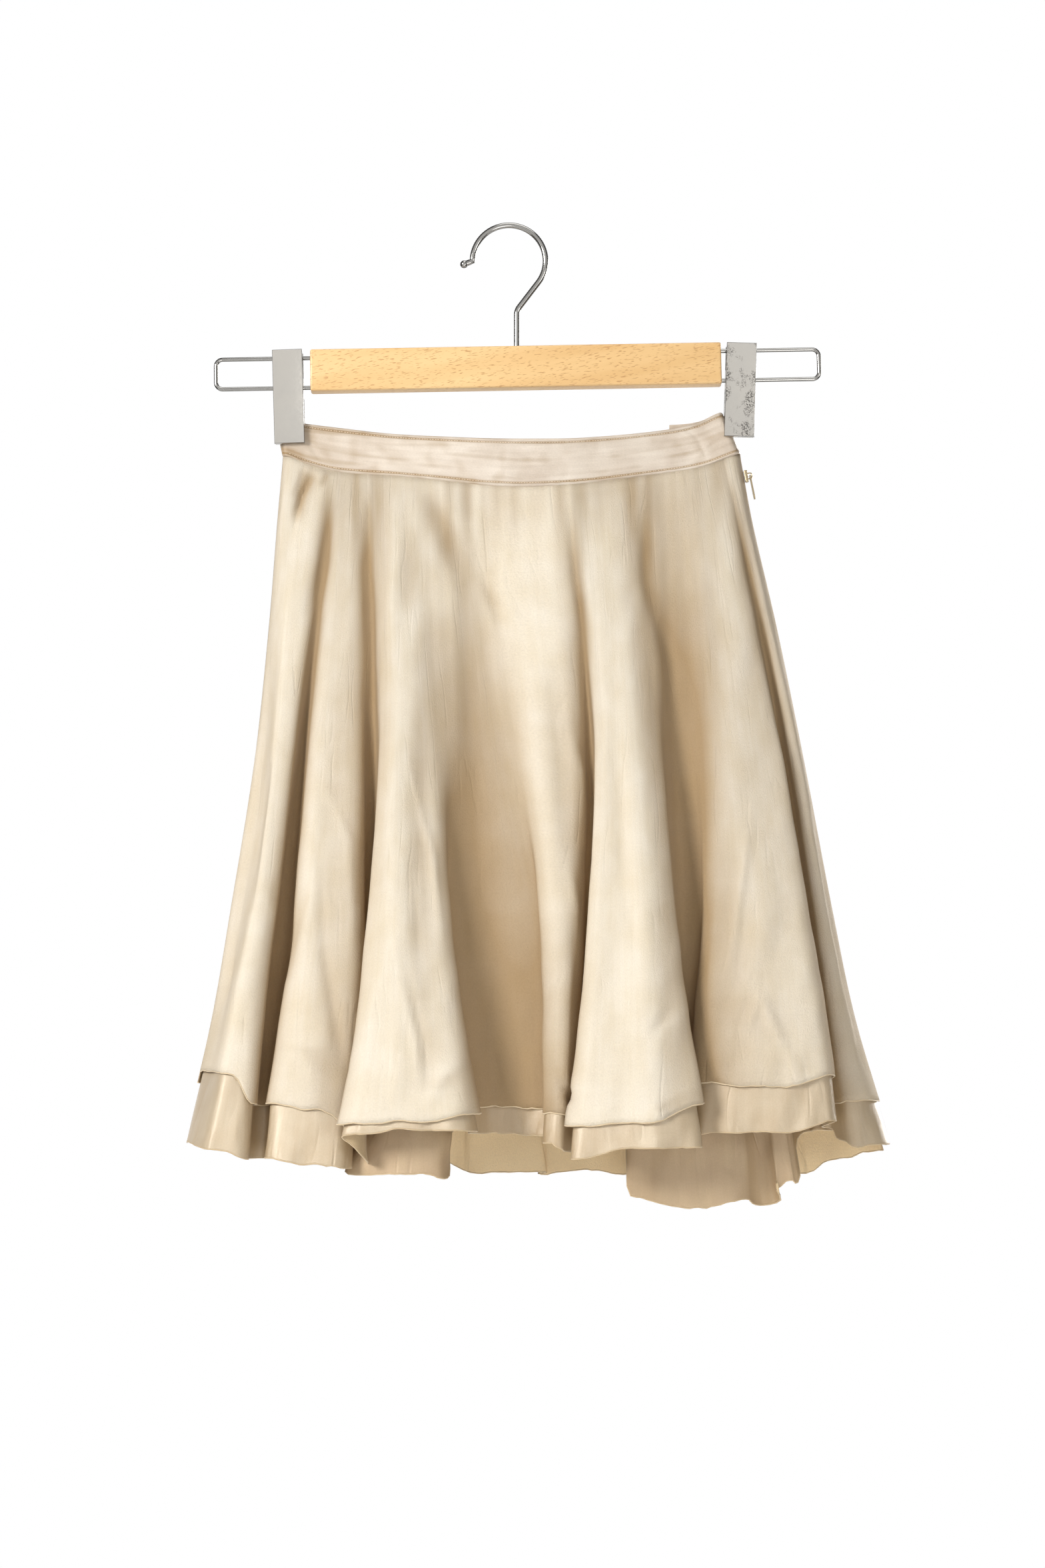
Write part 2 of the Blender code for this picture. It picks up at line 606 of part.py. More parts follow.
def make_bar():
    bar = box("hanger_bar", (BAR_LENGTH, BAR_DEPTH, BAR_HEIGHT),
              (BAR_CENTRE[0], 0, BAR_CENTRE[1]), -BAR_TILT, WOOD)
    ease = bar.modifiers.new("eased edges", "BEVEL")
    ease.width = BAR_EASE * MM
    ease.segments = 2
    along = (math.cos(BAR_TILT), 0, math.sin(BAR_TILT))
    cutters = []
    for side, sign in (("left", -1), ("right", 1)):
        for level, z in (("upper", WIRE_UPPER), ("lower", WIRE_LOWER)):
            x, height = from_bar(sign * BAR_LENGTH / 2, z)
            cutters.append(rod(f"socket_{side}_{level}", WIRE_RADIUS + GAP, 2 * SOCKET_DEPTH,
                               (x, 0, height), along))
    top = from_bar(STEM_X - BAR_CENTRE[0], BAR_HEIGHT / 2)[1]
    cutters.append(rod("stem_hole", HOOK_WIRE + GAP, 2 * STEM_SEAT, (STEM_X, 0, top), (0, 0, 1)))
    cut(bar, cutters)


def make_hook():
    centre = (0, -(HOOK_RADIUS - HOOK_WIRE))
    bow = arc(centre, HOOK_RADIUS, math.pi, -HOOK_SWEEP, 24)
    leave = Vector(bow[-1])
    slope = Vector((-math.sin(HOOK_SWEEP), -math.cos(HOOK_SWEEP)))
    to_stem = (leave.x - STEM_X) / math.sin(HOOK_SWEEP)
    corner = leave + slope * to_stem
    back_off = STEM_BEND * math.tan(HOOK_SWEEP / 2)
    bend_centre = (STEM_X + STEM_BEND, corner.y - back_off)
    bend = arc(bend_centre, STEM_BEND, math.pi - HOOK_SWEEP, math.pi, 5)
    top = from_bar(STEM_X - BAR_CENTRE[0], BAR_HEIGHT / 2)[1]
    foot = top - STEM_SEAT + GAP
    path = list(reversed(HOOK_TIP)) + bow + bend + [(STEM_X, foot)]
    hook = wire_mesh(wire("hanger_hook", [(x, 0, z) for x, z in path], HOOK_WIRE, CHROME))
    bm = bmesh.new()
    bmesh.ops.create_uvsphere(bm, u_segments=16, v_segments=10, radius=TIP_BALL * MM)
    mesh = bpy.data.meshes.new("hook_ball")
    bm.to_mesh(mesh)
    bm.free()
    ball = add_object("hook_ball", mesh, CHROME)
    tip = HOOK_TIP[-1]
    ball.location = (tip[0] * MM, 0, tip[1] * MM)
    cut(hook, [ball], "UNION")


def make_loop(side, sign):
    reach = LOOP_REACH[side] - WIRE_RADIUS
    inside = BAR_LENGTH / 2 - SOCKET_DEPTH + GAP
    corner = LOOP_CORNER
    upper = arc((reach - corner, WIRE_UPPER - corner), corner, math.pi / 2, 0, 5)
    lower = arc((reach - corner, WIRE_LOWER + corner), corner, 0, -math.pi / 2, 5)
    path = [(inside, WIRE_UPPER)] + upper + lower + [(inside, WIRE_LOWER)]
    points = [from_bar(sign * x, z) for x, z in path]
    wire(f"wire_loop_{side}", [(x, 0, z) for x, z in points], WIRE_RADIUS, CHROME)


def lower_wire_at(x):
    """Height of the lower wire's axis at a world x."""
    on_wire = from_bar(0, WIRE_LOWER)
    return on_wire[1] + (x - on_wire[0]) * math.tan(BAR_TILT)


def make_clip(side):
    """Two pressed trays, one each side of the band, hinged on the lower wire."""
    x, z = CLIP_CENTRE[side]
    lean = CLIP_LEAN[side]
    pivot = lower_wire_at(x)
    along = (math.cos(BAR_TILT), 0, math.sin(BAR_TILT))
    grip = PINCH_DEPTH + GAP
    for face, sign in (("front", -1), ("back", 1)):
        depth = CLIP_FACE - HALF_SEAM
        tray = box(f"clip_{side}_{face}", (CLIP_WIDTH, depth, CLIP_HEIGHT),
                   (x, sign * (HALF_SEAM + depth / 2), z), lean, CHROME)
        pocket = box(f"pocket_{side}_{face}",
                     (CLIP_WIDTH - 2 * CLIP_SHEET, 2 * (CLIP_FACE - CLIP_SHEET), CLIP_HEIGHT),
                     (x - math.sin(lean) * CLIP_SHEET, 0, z + CLIP_SHEET), lean)
        cutters = [pocket]
        for end, above in (("above", 1), ("below", -1)):
            length = CLIP_HEIGHT
            middle = pivot + above * (EAR_HALF + length / 2)
            cutters.append(box(f"relief_{side}_{face}_{end}", (3 * CLIP_WIDTH, 2 * grip, length),
                               (x, 0, middle)))
        cutters.append(rod(f"wire_way_{side}_{face}", WIRE_RADIUS + GAP, 3 * CLIP_WIDTH,
                           (x, 0, pivot), along))
        cut(tray, cutters)
    spring = rod(f"clip_spring_{side}", SPRING_RADIUS, SPRING_LENGTH, (x, 0, pivot), along)
    cut(spring, [rod(f"spring_bore_{side}", WIRE_RADIUS + GAP, 2 * SPRING_LENGTH,
                     (x, 0, pivot), along)])


def make_hanger():
    make_bar()
    make_hook()
    for side, sign in (("left", -1), ("right", 1)):
        make_loop(side, sign)
        make_clip(side)


def pull_outline():
    """A teardrop about the hinge bar, as (across, along) points in mm."""
    bottom = PULL_HALF - PULL_LENGTH
    right = [(PULL_NECK - PULL_CROWN, PULL_CROWN), (PULL_NECK, 0)]
    for i in range(1, PULL_STEPS + 1):
        share = i / PULL_STEPS
        across = mix(PULL_NECK, PULL_HALF, smoothstep(0, 1, share))
        right.append((across, mix(0, bottom, share)))
    end = arc((0, bottom), PULL_HALF, 0, -math.pi, PULL_STEPS + 2)[1:-1]
    left = [(-x, y) for x, y in reversed(right)]
    return right + end + left


def make_zip():
    seam_x = smooth_value(LEVELS, SIDE_RIGHT, SLIDER_DROP)
    thick, wide, tall = SLIDER_SIZE
    middle = Vector((seam_x + thick / 2 + GAP, 0, -SLIDER_DROP))
    slider = box("zip_slider", SLIDER_SIZE, middle, SLIDER_LEAN, NICKEL)
    soft = slider.modifiers.new("rounded edges", "BEVEL")
    soft.width = SLIDER_EASE * MM
    soft.segments = 2
    turn = Matrix.Rotation(SLIDER_LEAN, 3, "Y")
    top = BAIL_RISE + thick / 2
    upper = [(0, BAIL_HALF)] + [(top - below, BAIL_HALF - inside) for below, inside in BAIL_BEND]
    lower = [(out, -along) for out, along in reversed(upper)]
    arch = [middle + turn @ Vector((out, 0, along)) for out, along in upper + lower]
    bail = wire_mesh(wire("zip_bail", arch, BAIL_RADIUS, NICKEL))
    cut(slider, [bail], "UNION")
    hinge_at = middle + turn @ Vector((thick / 2 + PULL_AT[0], 0, PULL_AT[1]))
    hinge = bpy.data.objects.new("zip_pull_hinge", None)
    get_collection(NAME).objects.link(hinge)
    hinge.location = hinge_at * MM
    hinge.rotation_euler = (0, PULL_LEAN, 0)
    curve = bpy.data.curves.new("zip_pull", "CURVE")
    curve.dimensions = "2D"
    curve.fill_mode = "BOTH"
    curve.extrude = PULL_THICK / 2 * MM
    window = [(WINDOW_HALF, -WINDOW_TOP), (-WINDOW_HALF, -WINDOW_TOP),
              (-WINDOW_HALF, -WINDOW_END), (WINDOW_HALF, -WINDOW_END)]
    for outline in (pull_outline(), window):
        spline = curve.splines.new("POLY")
        spline.points.add(len(outline) - 1)
        for knot, (across, along) in zip(spline.points, outline):
            knot.co = (across * MM, along * MM, 0, 1)
        spline.use_cyclic_u = True
    pull = add_object("zip_pull", curve, NICKEL)
    pull.parent = hinge
    pull.rotation_euler = (math.pi / 2, 0, math.pi / 2)


def main():
    clear_scene()
    make_waistband()
    make_skirt()
    make_zip()
    make_hanger()


main()
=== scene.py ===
"""Mini skirt on a clip hanger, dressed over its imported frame.

Tables are in millimetres. A point of the cloth is (x, depth, drop): x is to the
right seen from the front, depth is its distance from the middle plane, and drop is
how far it lies below the hook's inner top. The front faces -Y.
"""

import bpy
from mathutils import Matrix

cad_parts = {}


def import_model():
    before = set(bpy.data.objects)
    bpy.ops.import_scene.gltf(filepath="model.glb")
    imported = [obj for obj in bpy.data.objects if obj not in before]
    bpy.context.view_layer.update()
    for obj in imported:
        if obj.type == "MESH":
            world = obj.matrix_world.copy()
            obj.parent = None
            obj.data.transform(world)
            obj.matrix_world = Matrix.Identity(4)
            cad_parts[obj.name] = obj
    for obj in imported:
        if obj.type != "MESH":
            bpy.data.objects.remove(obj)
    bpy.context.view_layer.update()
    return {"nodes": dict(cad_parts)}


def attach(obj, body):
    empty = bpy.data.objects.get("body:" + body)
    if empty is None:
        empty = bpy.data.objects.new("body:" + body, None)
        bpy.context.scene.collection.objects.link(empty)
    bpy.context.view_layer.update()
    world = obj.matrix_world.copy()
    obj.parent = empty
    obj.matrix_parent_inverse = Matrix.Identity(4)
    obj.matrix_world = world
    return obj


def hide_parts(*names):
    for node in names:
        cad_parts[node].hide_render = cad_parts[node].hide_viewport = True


bl_info = {
    "name": "Mini Skirt on Clip Hanger",
    "version": (1, 0, 0),
    "blender": (4, 5, 0),
    "location": "3D View > Sidebar > Skirt",
    "description": "Cloth layers, waistband, zip and clip hanger of a mini skirt",
    "category": "Add Mesh",
}

import math
from collections import namedtuple

import bmesh
import bpy
import numpy as np
from mathutils import Matrix, Vector, noise

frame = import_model()

MM = 0.001
BODY = "skirt_and_hanger"

# The solids' sizes, as the frame has them
SEAM = 0.06               # half the slit between front and back cloth
LAYER_WALL = 1.05
LAYER_GAP = 0.3
PINCH_DEPTH = 4.8
LENS_DEPTH = 7.6
LENS_HALF = 125.0
BAND_STEP = 0.4
TOP_GAP = 0.15
SIDE_RADIUS = PINCH_DEPTH - BAND_STEP
FULL_DROP = 600.0
GROWTH_POWER = 1.1
LIP_RADIUS = 6.0
LIP_SHARES = (0.14, 0.22)
LIP_RISE = 0.7
CREST_SHARES = (0.38, 0.66)
VALLEY_SHARES = (0.35, 0.65)
VALLEY_SLOPE = 0.25
FLANK_RUN = 1.7
HEM_TURN = 0.85
SIDE_DEPTH = SIDE_RADIUS * math.sqrt(0.5)
SIDE_TURN = SIDE_RADIUS - SIDE_DEPTH
LEAST_DEPTH = 0.6
LEVELS = (155, 200, 270, 360, 460, 530, 600)
SIDE_LEFT = np.array((-150.6, -154.2, -159.2, -168, -183, -194.5, -210))
SIDE_RIGHT = np.array((154.2, 162, 177.5, 195, 213, 227, 247))
INSET_RUN = 120.0
LINING_EASE = 2.5

Fold = namedtuple("Fold", "name left right edge_l crest edge_r floor hook_l hook_r over flare")
FRONT_FOLDS = (
    Fold("a", (-147.5, -151.5, -156.5, -161.5, -174, -189, -206),
         (-120, -124, -132, -141, -150, -157.5, -163), 18, 50, 42, 20, 0, 3, 0, 1),
    Fold("b", (-112, -115.5, -122, -130.5, -138, -147.5, -156),
         (-98, -98, -97, -94.5, -93, -94, -97), 44, 54, 44, 28, 3, 3, -1, 1),
    Fold("c", (-88, -87, -84, -84, -91, -96, -104),
         (-53, -52, -50, -43.5, -37, -30, -21), 62, 72, 58, 33, 4, 4, 0, 5),
    Fold("d", (-17, -13, -3, 8.5, 20.5, 23, 22),
         (34, 37, 43, 50, 49, 46, 44), 48, 56, 44, 35, 3, 0, -1, 1),
    Fold("e", (44, 48, 53, 56, 51.5, 46.5, 41),
         (89.5, 90.5, 93, 99.5, 108, 115.5, 122), 62, 72, 62, 30, 4, 4, 1, 5),
    Fold("f", (116, 119, 122, 124.5, 126, 119, 115),
         (140, 149, 163, 180, 195, 205, 213), 42, 54, 42, 14, 2, 5, 1, 1),
    Fold("g", (144.5, 154, 168, 183, 196, 204, 211),
         (150, 160, 174.5, 192, 209, 222, 236), 17, 24, 20, 0, -2, 0, 0, 1),
)
BACK_FOLDS = (
    Fold("h", (-147.5, -151.5, -156, -163, -177, -189, -205),
         (-116, -118, -121, -125, -129, -131, -135), 16, 44, 38, 26, 0, 3, 0, 1),
    Fold("i", (-104, -106, -109, -112, -113, -113, -116),
         (-62, -61, -59, -56, -54, -52, -48), 46, 60, 50, 30, 3, 3, 0, 3),
    Fold("j", (-50, -48, -45, -42, -36, -34, -34),
         (-14, -13, -10, -6, -2, 2, 10), 46, 56, 46, 32, 3, 3, 0, 3),
    Fold("k", (-2, 0, 5, 12, 20, 26, 30),
         (40, 41, 44, 50, 58, 62, 70), 52, 66, 54, 30, 3, 3, 0, 3),
    Fold("l", (50, 52, 58, 64, 74, 82, 86),
         (94, 97, 104, 112, 124, 134, 146), 48, 60, 46, 26, 3, 3, 0, 2),
    Fold("m", (106, 109, 117, 126, 140, 150, 156),
         (150, 158, 172, 188, 205, 217, 233), 34, 44, 24, 0, 3, 0, 0, 1),
)
LINING_FRONT_FOLDS = (
    Fold("n", (-147.5, -151, -155, -160, -172, -183, -197),
         (-104, -106, -109, -112, -115, -117, -120), 14, 19, 18, 17, 0, -3, 0, 1),
    Fold("o", (-84, -83, -80, -79, -82, -85, -88),
         (-50, -49, -47, -44, -41, -39, -37), 36, 48, 36, 17, -3, -3, 0, 8),
    Fold("p", (60, 61, 63, 66, 70, 73, 76),
         (110, 114, 120, 128, 139, 147, 153), 23, 27, 24, 20, -3, -3, 0, 2),
    Fold("q", (120, 124, 131, 140, 151, 160, 168),
         (130, 136, 144, 154, 166, 176, 186), 24, 25, 20, 11, -3, -3, 0, 1),
    Fold("r", (138, 145, 155, 167, 181, 192, 203),
         (149, 156, 169, 184, 201, 212, 228), 11, 12, 11, 0, -2, 0, 0, 1),
)
LINING_BACK_FOLDS = (
    Fold("s", (-147.5, -151, -155, -161, -173, -184, -197),
         (-112, -113, -114, -116, -118, -119, -121), 13, 22, 21, 18, 0, -3, 0, 1),
    Fold("t", (-96, -97, -98, -100, -101, -102, -103),
         (-42, -41, -39, -36, -33, -30, -27), 25, 28, 25, 19, -3, -3, 0, 3),
    Fold("u", (-14, -12, -7, 0, 8, 14, 20),
         (46, 47, 50, 55, 63, 69, 76), 26, 29, 26, 19, -3, -3, 0, 3),
    Fold("v", (60, 62, 67, 75, 86, 94, 102),
         (116, 119, 126, 136, 148, 158, 169), 24, 26, 22, 16, -3, -3, 0, 3),
    Fold("w", (128, 132, 141, 152, 166, 177, 190),
         (149, 156, 170, 186, 203, 215, 230), 18, 18, 13, 0, -3, 0, 0, 1),
)

# Hem drops of each fold: left edge, middle, right edge, valley floor to its right
HEM_CHIFFON_FRONT = (
    (565, 568, 587, 587), (587, 590, 605, 601), (601, 599, 594, 589), (593, 594, 598, 598),
    (602, 600, 588, 580), (574, 576, 569, 575), (587, 584, 584, 584))
HEM_SATIN_FRONT = (
    (611, 617, 622, 621), (622, 625, 629, 626), (608, 604, 605, 606), (612, 616, 618, 616),
    (623, 616, 615, 609), (607, 605, 598, 602), (610, 614, 612, 612))
HEM_CHIFFON_BACK = (
    (572, 580, 590, 588), (592, 594, 596, 590), (594, 595, 596, 590), (596, 596, 594, 588),
    (592, 590, 586, 582), (586, 585, 583, 583))
HEM_SATIN_BACK = (
    (604, 608, 612, 604), (612, 613, 612, 604), (612, 612, 612, 604), (612, 612, 610, 603),
    (610, 608, 606, 602), (606, 606, 608, 608))
HEM_LINING_FRONT = (
    (600, 605, 607, 600), (633, 631, 635, 597), (648, 653, 647, 652), (641, 635, 638, 604),
    (603, 602, 611, 614))
HEM_LINING_BACK = (
    (600, 606, 608, 608), (612, 618, 628, 630), (632, 629, 632, 630), (634, 632, 632, 630),
    (630, 622, 616, 616))

Station = namedtuple("Station", "x_top drop_top x_low drop_low")
BAND_STATIONS = (
    Station(-156.5, 131.0, -151.0, 156.2), Station(-151.8, 131.9, -146.2, 157.0),
    Station(-136.0, 134.5, -133.5, 162.4), Station(-114.4, 137.3, -114.0, 167.5),
    Station(-78.0, 142.0, -76.0, 171.0), Station(-46.0, 144.3, -45.0, 174.4),
    Station(-15.0, 145.9, -15.0, 178.0), Station(12.0, 146.2, 12.0, 178.8),
    Station(47.0, 145.3, 48.0, 176.5), Station(94.0, 140.4, 95.0, 169.8),
    Station(123.0, 134.9, 129.5, 163.8), Station(138.0, 128.0, 150.0, 156.2),
    Station(142.4, 126.4, 154.6, 154.4))

BAR_LENGTH, BAR_HEIGHT, BAR_DEPTH = 274.5, 28.2, 13.0
BAR_CENTRE = (4.6, -96.0)
BAR_TILT = math.radians(1.02)
BAR_EASE = 1.4            # radius of its rounded edges
WIRE_RADIUS = 1.4
WIRE_UPPER, WIRE_LOWER = 9.3, -10.9
LOOP_REACH = {"left": 202.0, "right": 204.2}
LOOP_CORNER = 4.6
HOOK_RADIUS, HOOK_WIRE = 24.5, 1.9
HOOK_SWEEP = math.radians(36.9)
STEM_X, STEM_BEND = 5.2, 9.0
TIP_BALL = 2.6
HOOK_TIP = ((-26.4, -23.4), (-30.2, -24.9))
CLIP_WIDTH, CLIP_HEIGHT, CLIP_SHEET = 20.0, 63.6, 1.2
CLIP_FACE = 8.6
CLIP_CENTRE = {"left": (-147.0, -116.8), "right": (154.4, -112.2)}
CLIP_LEAN = {"left": -math.radians(1.98), "right": math.radians(1.98)}
EAR_HALF = 6.0
BACK_JAW_SHORTER = 2.6    # so that no back plate shows below a front one
SPRING_RADIUS, SPRING_LENGTH = 3.0, 15.6

# Creases of the outer cloth, each a line through three points (x, drop). Its width and
# height are in mm; a trough's height is below 0
Crease = namedtuple("Crease", "x1 drop1 x2 drop2 x3 drop3 width height")


def crease_table(*rows):
    return tuple(Crease(*row) for row in rows)


FRONT_CREASES = crease_table(
    (-68, 270, -74, 400, -70, 600, 10.0, 1.6), (-54, 330, -56, 410, -52, 520, 7.0, -0.8),
    (76, 270, 85, 400, 93, 600, 12.0, 1.3), (-118, 300, -128, 430, -130, 600, 11.0, 1.0),
    (140, 300, 152, 430, 162, 590, 13.0, 1.0), (10, 300, 28, 420, 33, 600, 9.0, 0.8),
    (-130, 167, -138, 183, -142, 201, 2.2, -1.5), (-134, 161, -139, 175, -144, 186, 1.5, -0.7),
    (-119, 190, -122, 230, -131, 262, 5.0, -0.5), (-119, 166, -122, 171, -125, 177, 1.0, -0.5),
    (-92, 190, -94, 235, -90, 291, 5.0, -0.6), (-75, 187, -75, 238, -76, 292, 6.0, 1.0),
    (-54, 180, -43, 208, -32, 240, 8.0, -1.3), (-17, 242, -11, 256, -5, 274, 1.6, -0.9),
    (39, 194, 44, 240, 56, 301, 4.0, -0.5), (90, 200, 93, 242, 107, 301, 6.0, -1.2),
    (199, 393, 214, 480, 232, 566, 1.6, -0.9), (-66, 364, -49, 425, -43, 480, 2.4, 0.6),
    (-62, 433, -59, 469, -56, 508, 2.0, -0.4), (-120, 379, -104, 415, -100, 492, 2.2, 0.4),
    (-122, 424, -120, 469, -118, 508, 2.0, -0.4), (35, 330, 48, 370, 51, 424, 2.4, 0.5),
    (33, 402, 44, 460, 46, 508, 2.2, 0.5), (-65, 507, -55, 545, -50, 578, 2.0, -0.7),
    (-69, 505, -59, 544, -55, 580, 2.6, 0.6), (-52, 589, -44, 573, -33, 564, 2.0, 0.9),
    (-128, 437, -137, 474, -143, 506, 3.0, -0.9), (-118, 488, -111, 537, -105, 568, 3.0, -0.9),
    (-142, 556, -134, 551, -125, 568, 2.2, 0.8), (89, 547, 97, 535, 107, 526, 2.8, -0.6),
    (88, 588, 95, 592, 102, 600, 1.8, 0.8), (156, 412, 148, 462, 143, 506, 3.0, 0.9),
    (152, 543, 162, 519, 185, 568, 2.6, 0.8), (-157, 366, -163, 411, -167, 461, 2.4, -0.9),
    (-180, 470, -183, 510, -190, 552, 2.8, -0.8), (28, 562, 36, 577, 43, 593, 2.4, -1.0),
    (30, 300, 36, 360, 38, 450, 2.5, -0.8), (70, 360, 74, 430, 82, 500, 4.0, -0.5))
BACK_CREASES = crease_table(
    (-128, 168, -134, 190, -138, 212, 2.4, -1.2), (-84, 190, -80, 240, -78, 300, 4.5, -1.0),
    (-32, 184, -30, 230, -24, 282, 3.5, 0.9), (22, 190, 24, 232, 30, 290, 4.0, -1.0),
    (74, 186, 80, 230, 92, 286, 4.5, -1.1), (132, 172, 140, 205, 150, 240, 2.8, -1.0),
    (-150, 420, -156, 480, -168, 545, 3.0, -0.8), (-90, 400, -86, 470, -80, 560, 4.0, 0.8),
    (-20, 430, -16, 500, -10, 570, 3.4, -0.9), (46, 420, 50, 500, 54, 575, 4.0, 0.8),
    (100, 400, 110, 480, 120, 560, 3.2, -0.9), (180, 380, 196, 460, 212, 550, 3.0, -0.8))
BAND_CREASES = crease_table(
    (-139, 142, -132, 150, -124, 160, 2.2, -0.5), (-112, 143, -92, 149, -70, 151, 1.6, -0.25),
    (-108, 152, -80, 158, -52, 160, 1.8, 0.25), (-38, 152, -22, 155, -6, 152, 2.0, 0.22),
    (8, 158, 30, 162, 52, 158, 2.0, -0.2), (66, 150, 84, 156, 104, 152, 2.0, 0.22),
    (118, 139, 124, 143, 128, 148, 1.3, -0.5), (126, 147, 129, 152, 132, 159, 1.3, -0.5),
    (135, 147, 130, 152, 125, 158, 1.2, 0.45), (112, 141, 130, 137, 140, 133, 1.2, -0.35))


def mix(a, b, share):
    return a + (b - a) * share


def smoothstep(low, high, value):
    share = min(1, max(0, (value - low) / (high - low)))
    return share * share * (3 - 2 * share)


def smooth_value(stations, values, at):
    """A cubic through the values, running straight on past both ends."""
    count = len(stations)
    slopes = [(values[min(i + 1, count - 1)] - values[max(i - 1, 0)])
              / (stations[min(i + 1, count - 1)] - stations[max(i - 1, 0)])
              for i in range(count)]
    if at <= stations[0]:
        return values[0] + slopes[0] * (at - stations[0])
    if at >= stations[-1]:
        return values[-1] + slopes[-1] * (at - stations[-1])
    i = max(k for k in range(count - 1) if stations[k] <= at)
    span = stations[i + 1] - stations[i]
    s = (at - stations[i]) / span
    rise, fall = s * s * (3 - 2 * s), s * (1 - s)
    return (mix(values[i], values[i + 1], rise)
            + span * fall * ((1 - s) * slopes[i] - s * slopes[i + 1]))


def band_depth(x):
    share = min(1, abs(x) / LENS_HALF)
    return PINCH_DEPTH + LENS_DEPTH * (1 - share * share) ** 2


def band_lower_drop(x):
    return smooth_value([s.x_low for s in BAND_STATIONS],
                        [s.drop_low for s in BAND_STATIONS], x)


def opening_share(level):
    return smoothstep(0.25, 0.8, (level - LEVELS[0]) / (FULL_DROP - LEVELS[0]))


class Column:
    """One line of a panel, from the band to the hem."""

    def __init__(self, xs, depth, hem, top_depth=None, flare=0):
        self.xs = xs
        self.depth = depth
        self.hem = hem
        self.flare = flare
        self.top = band_lower_drop(xs[0]) + TOP_GAP
        self.top_depth = band_depth(xs[0]) - BAND_STEP if top_depth is None else top_depth

    def point(self, drop, flare_share=0):
        grown = max(0, (drop - self.top) / (FULL_DROP - self.top)) ** GROWTH_POWER
        x = smooth_value(LEVELS, self.xs, drop) + self.flare * flare_share
        return x, mix(self.top_depth, self.depth, grown)


def flank_foot(edge, floor):
    return max(edge - FLANK_RUN * LIP_RADIUS, (edge + floor) / 2)


def flank_back(edge, other, covered, hook, outward, opened):
    """Where the cloth turns behind a fold's edge; outward is 1 at a right edge, -1 at a left."""
    gap = np.maximum(0.5, outward * (other - edge))
    front = outward * np.minimum(outward * edge, outward * other) if covered else edge
    return mix(edge + outward * VALLEY_SLOPE * gap, front - outward * hook, opened)


def fold_columns(folds, hems, side_left, side_right):
    """The columns of a panel, from its left seam to its right seam."""
    columns = [
        Column(side_left, SEAM, hems[0][0], SEAM),
        Column(side_left + SIDE_TURN, folds[0].edge_l / 2, hems[0][0], SIDE_DEPTH),
    ]
    opened = np.array([opening_share(level) for level in LEVELS])
    for i, (fold, hem) in enumerate(zip(folds, hems)):
        left, right = np.array(fold.left), np.array(fold.right)
        width = right - left
        roll = mix(LIP_SHARES[0] * width, np.minimum(LIP_RADIUS, LIP_SHARES[1] * width), opened)
        first, last = i == 0, i == len(folds) - 1
        if not first:
            before, floor_hem, start = folds[i - 1], hems[i - 1][3], columns[-1].xs
            back = flank_back(left, np.array(before.right), before.over < 0, fold.hook_l, -1,
                              opened)
            for share in VALLEY_SHARES:
                columns.append(Column(mix(start, back, share), before.floor, floor_hem))
            columns.append(Column(back, flank_foot(fold.edge_l, before.floor),
                                  mix(hem[0], floor_hem, HEM_TURN)))
        columns.append(Column(left, fold.edge_l, hem[0], flare=-fold.flare))
        if not first:
            lip = mix(fold.edge_l, fold.crest, LIP_RISE)
            columns.append(Column(left + roll, lip, hem[0], flare=-fold.flare / 2))
        for share in CREST_SHARES:
            columns.append(Column(left + share * width, fold.crest, hem[1]))
        if not last:
            lip = mix(fold.edge_r, fold.crest, LIP_RISE)
            columns.append(Column(right - roll, lip, hem[2], flare=fold.flare / 2))
        columns.append(Column(right, fold.edge_r, hem[2], flare=fold.flare))
        if not last:
            back = flank_back(right, np.array(folds[i + 1].left), fold.over > 0, fold.hook_r, 1,
                              opened)
            columns.append(Column(back, flank_foot(fold.edge_r, fold.floor),
                                  mix(hem[2], hem[3], HEM_TURN)))
    columns += [
        Column(side_right - SIDE_TURN, folds[-1].edge_r / 2, hems[-1][2], SIDE_DEPTH),
        Column(side_right, SEAM, hems[-1][2], SEAM),
    ]
    return columns


def inset_row(row, distances):
    """Moves a row of (x, depth) points inwards, square to the row."""
    moved = []
    for i, (x, depth) in enumerate(row):
        if i in (0, len(row) - 1):
            side = 1 if i == 0 else -1
            moved.append((x + side * distances[i], depth))
            continue
        before = Vector((x - row[i - 1][0], depth - row[i - 1][1])).normalized()
        after = Vector((row[i + 1][0] - x, row[i + 1][1] - depth)).normalized()
        normal = Vector((-(before.y + after.y), before.x + after.x))
        if normal.length < 1e-6:
            normal = Vector((-before.y, before.x))
        normal.normalize()
        inner = max(LEAST_DEPTH, depth - normal.y * distances[i])
        moved.append((x - normal.x * distances[i], inner))
    return moved


# Cloth at full resolution

# Insets in mm, shares of the folds' flare, waves at the hem in mm, height of the fine ripples
Layer = namedtuple("Layer", "top_inset low_inset flare late_flare ease wave fine seed low_crowd")
CHIFFON_LAYER = Layer(0, 0, 1, 0, 0, 0, 0.35, 3.0, 1.0)
SATIN_LAYER = Layer(LAYER_WALL + LAYER_GAP, 2.2, 0.6, 0, 0, 2.6, 0.35, 3.0, 1.5)
LINING_LAYER = Layer(2 * (LAYER_WALL + LAYER_GAP), 4.2, 1, 1.5, LINING_EASE, 1.6, 0.3, 11.0, 1.5)
UNDER_ROWS = 76           # of the satin and the lining, band to hem
CLOTH_WALL = 0.7
TUCK = 1.2                # of the cloth into the waistband's seam
STEP_MM = 2.7             # between neighbouring columns of the cloth
SOFT_COLUMNS = 5.0        # how widely the folds are softened just under the band
SOFT_DROP = 230.0         # and how far down that reaches
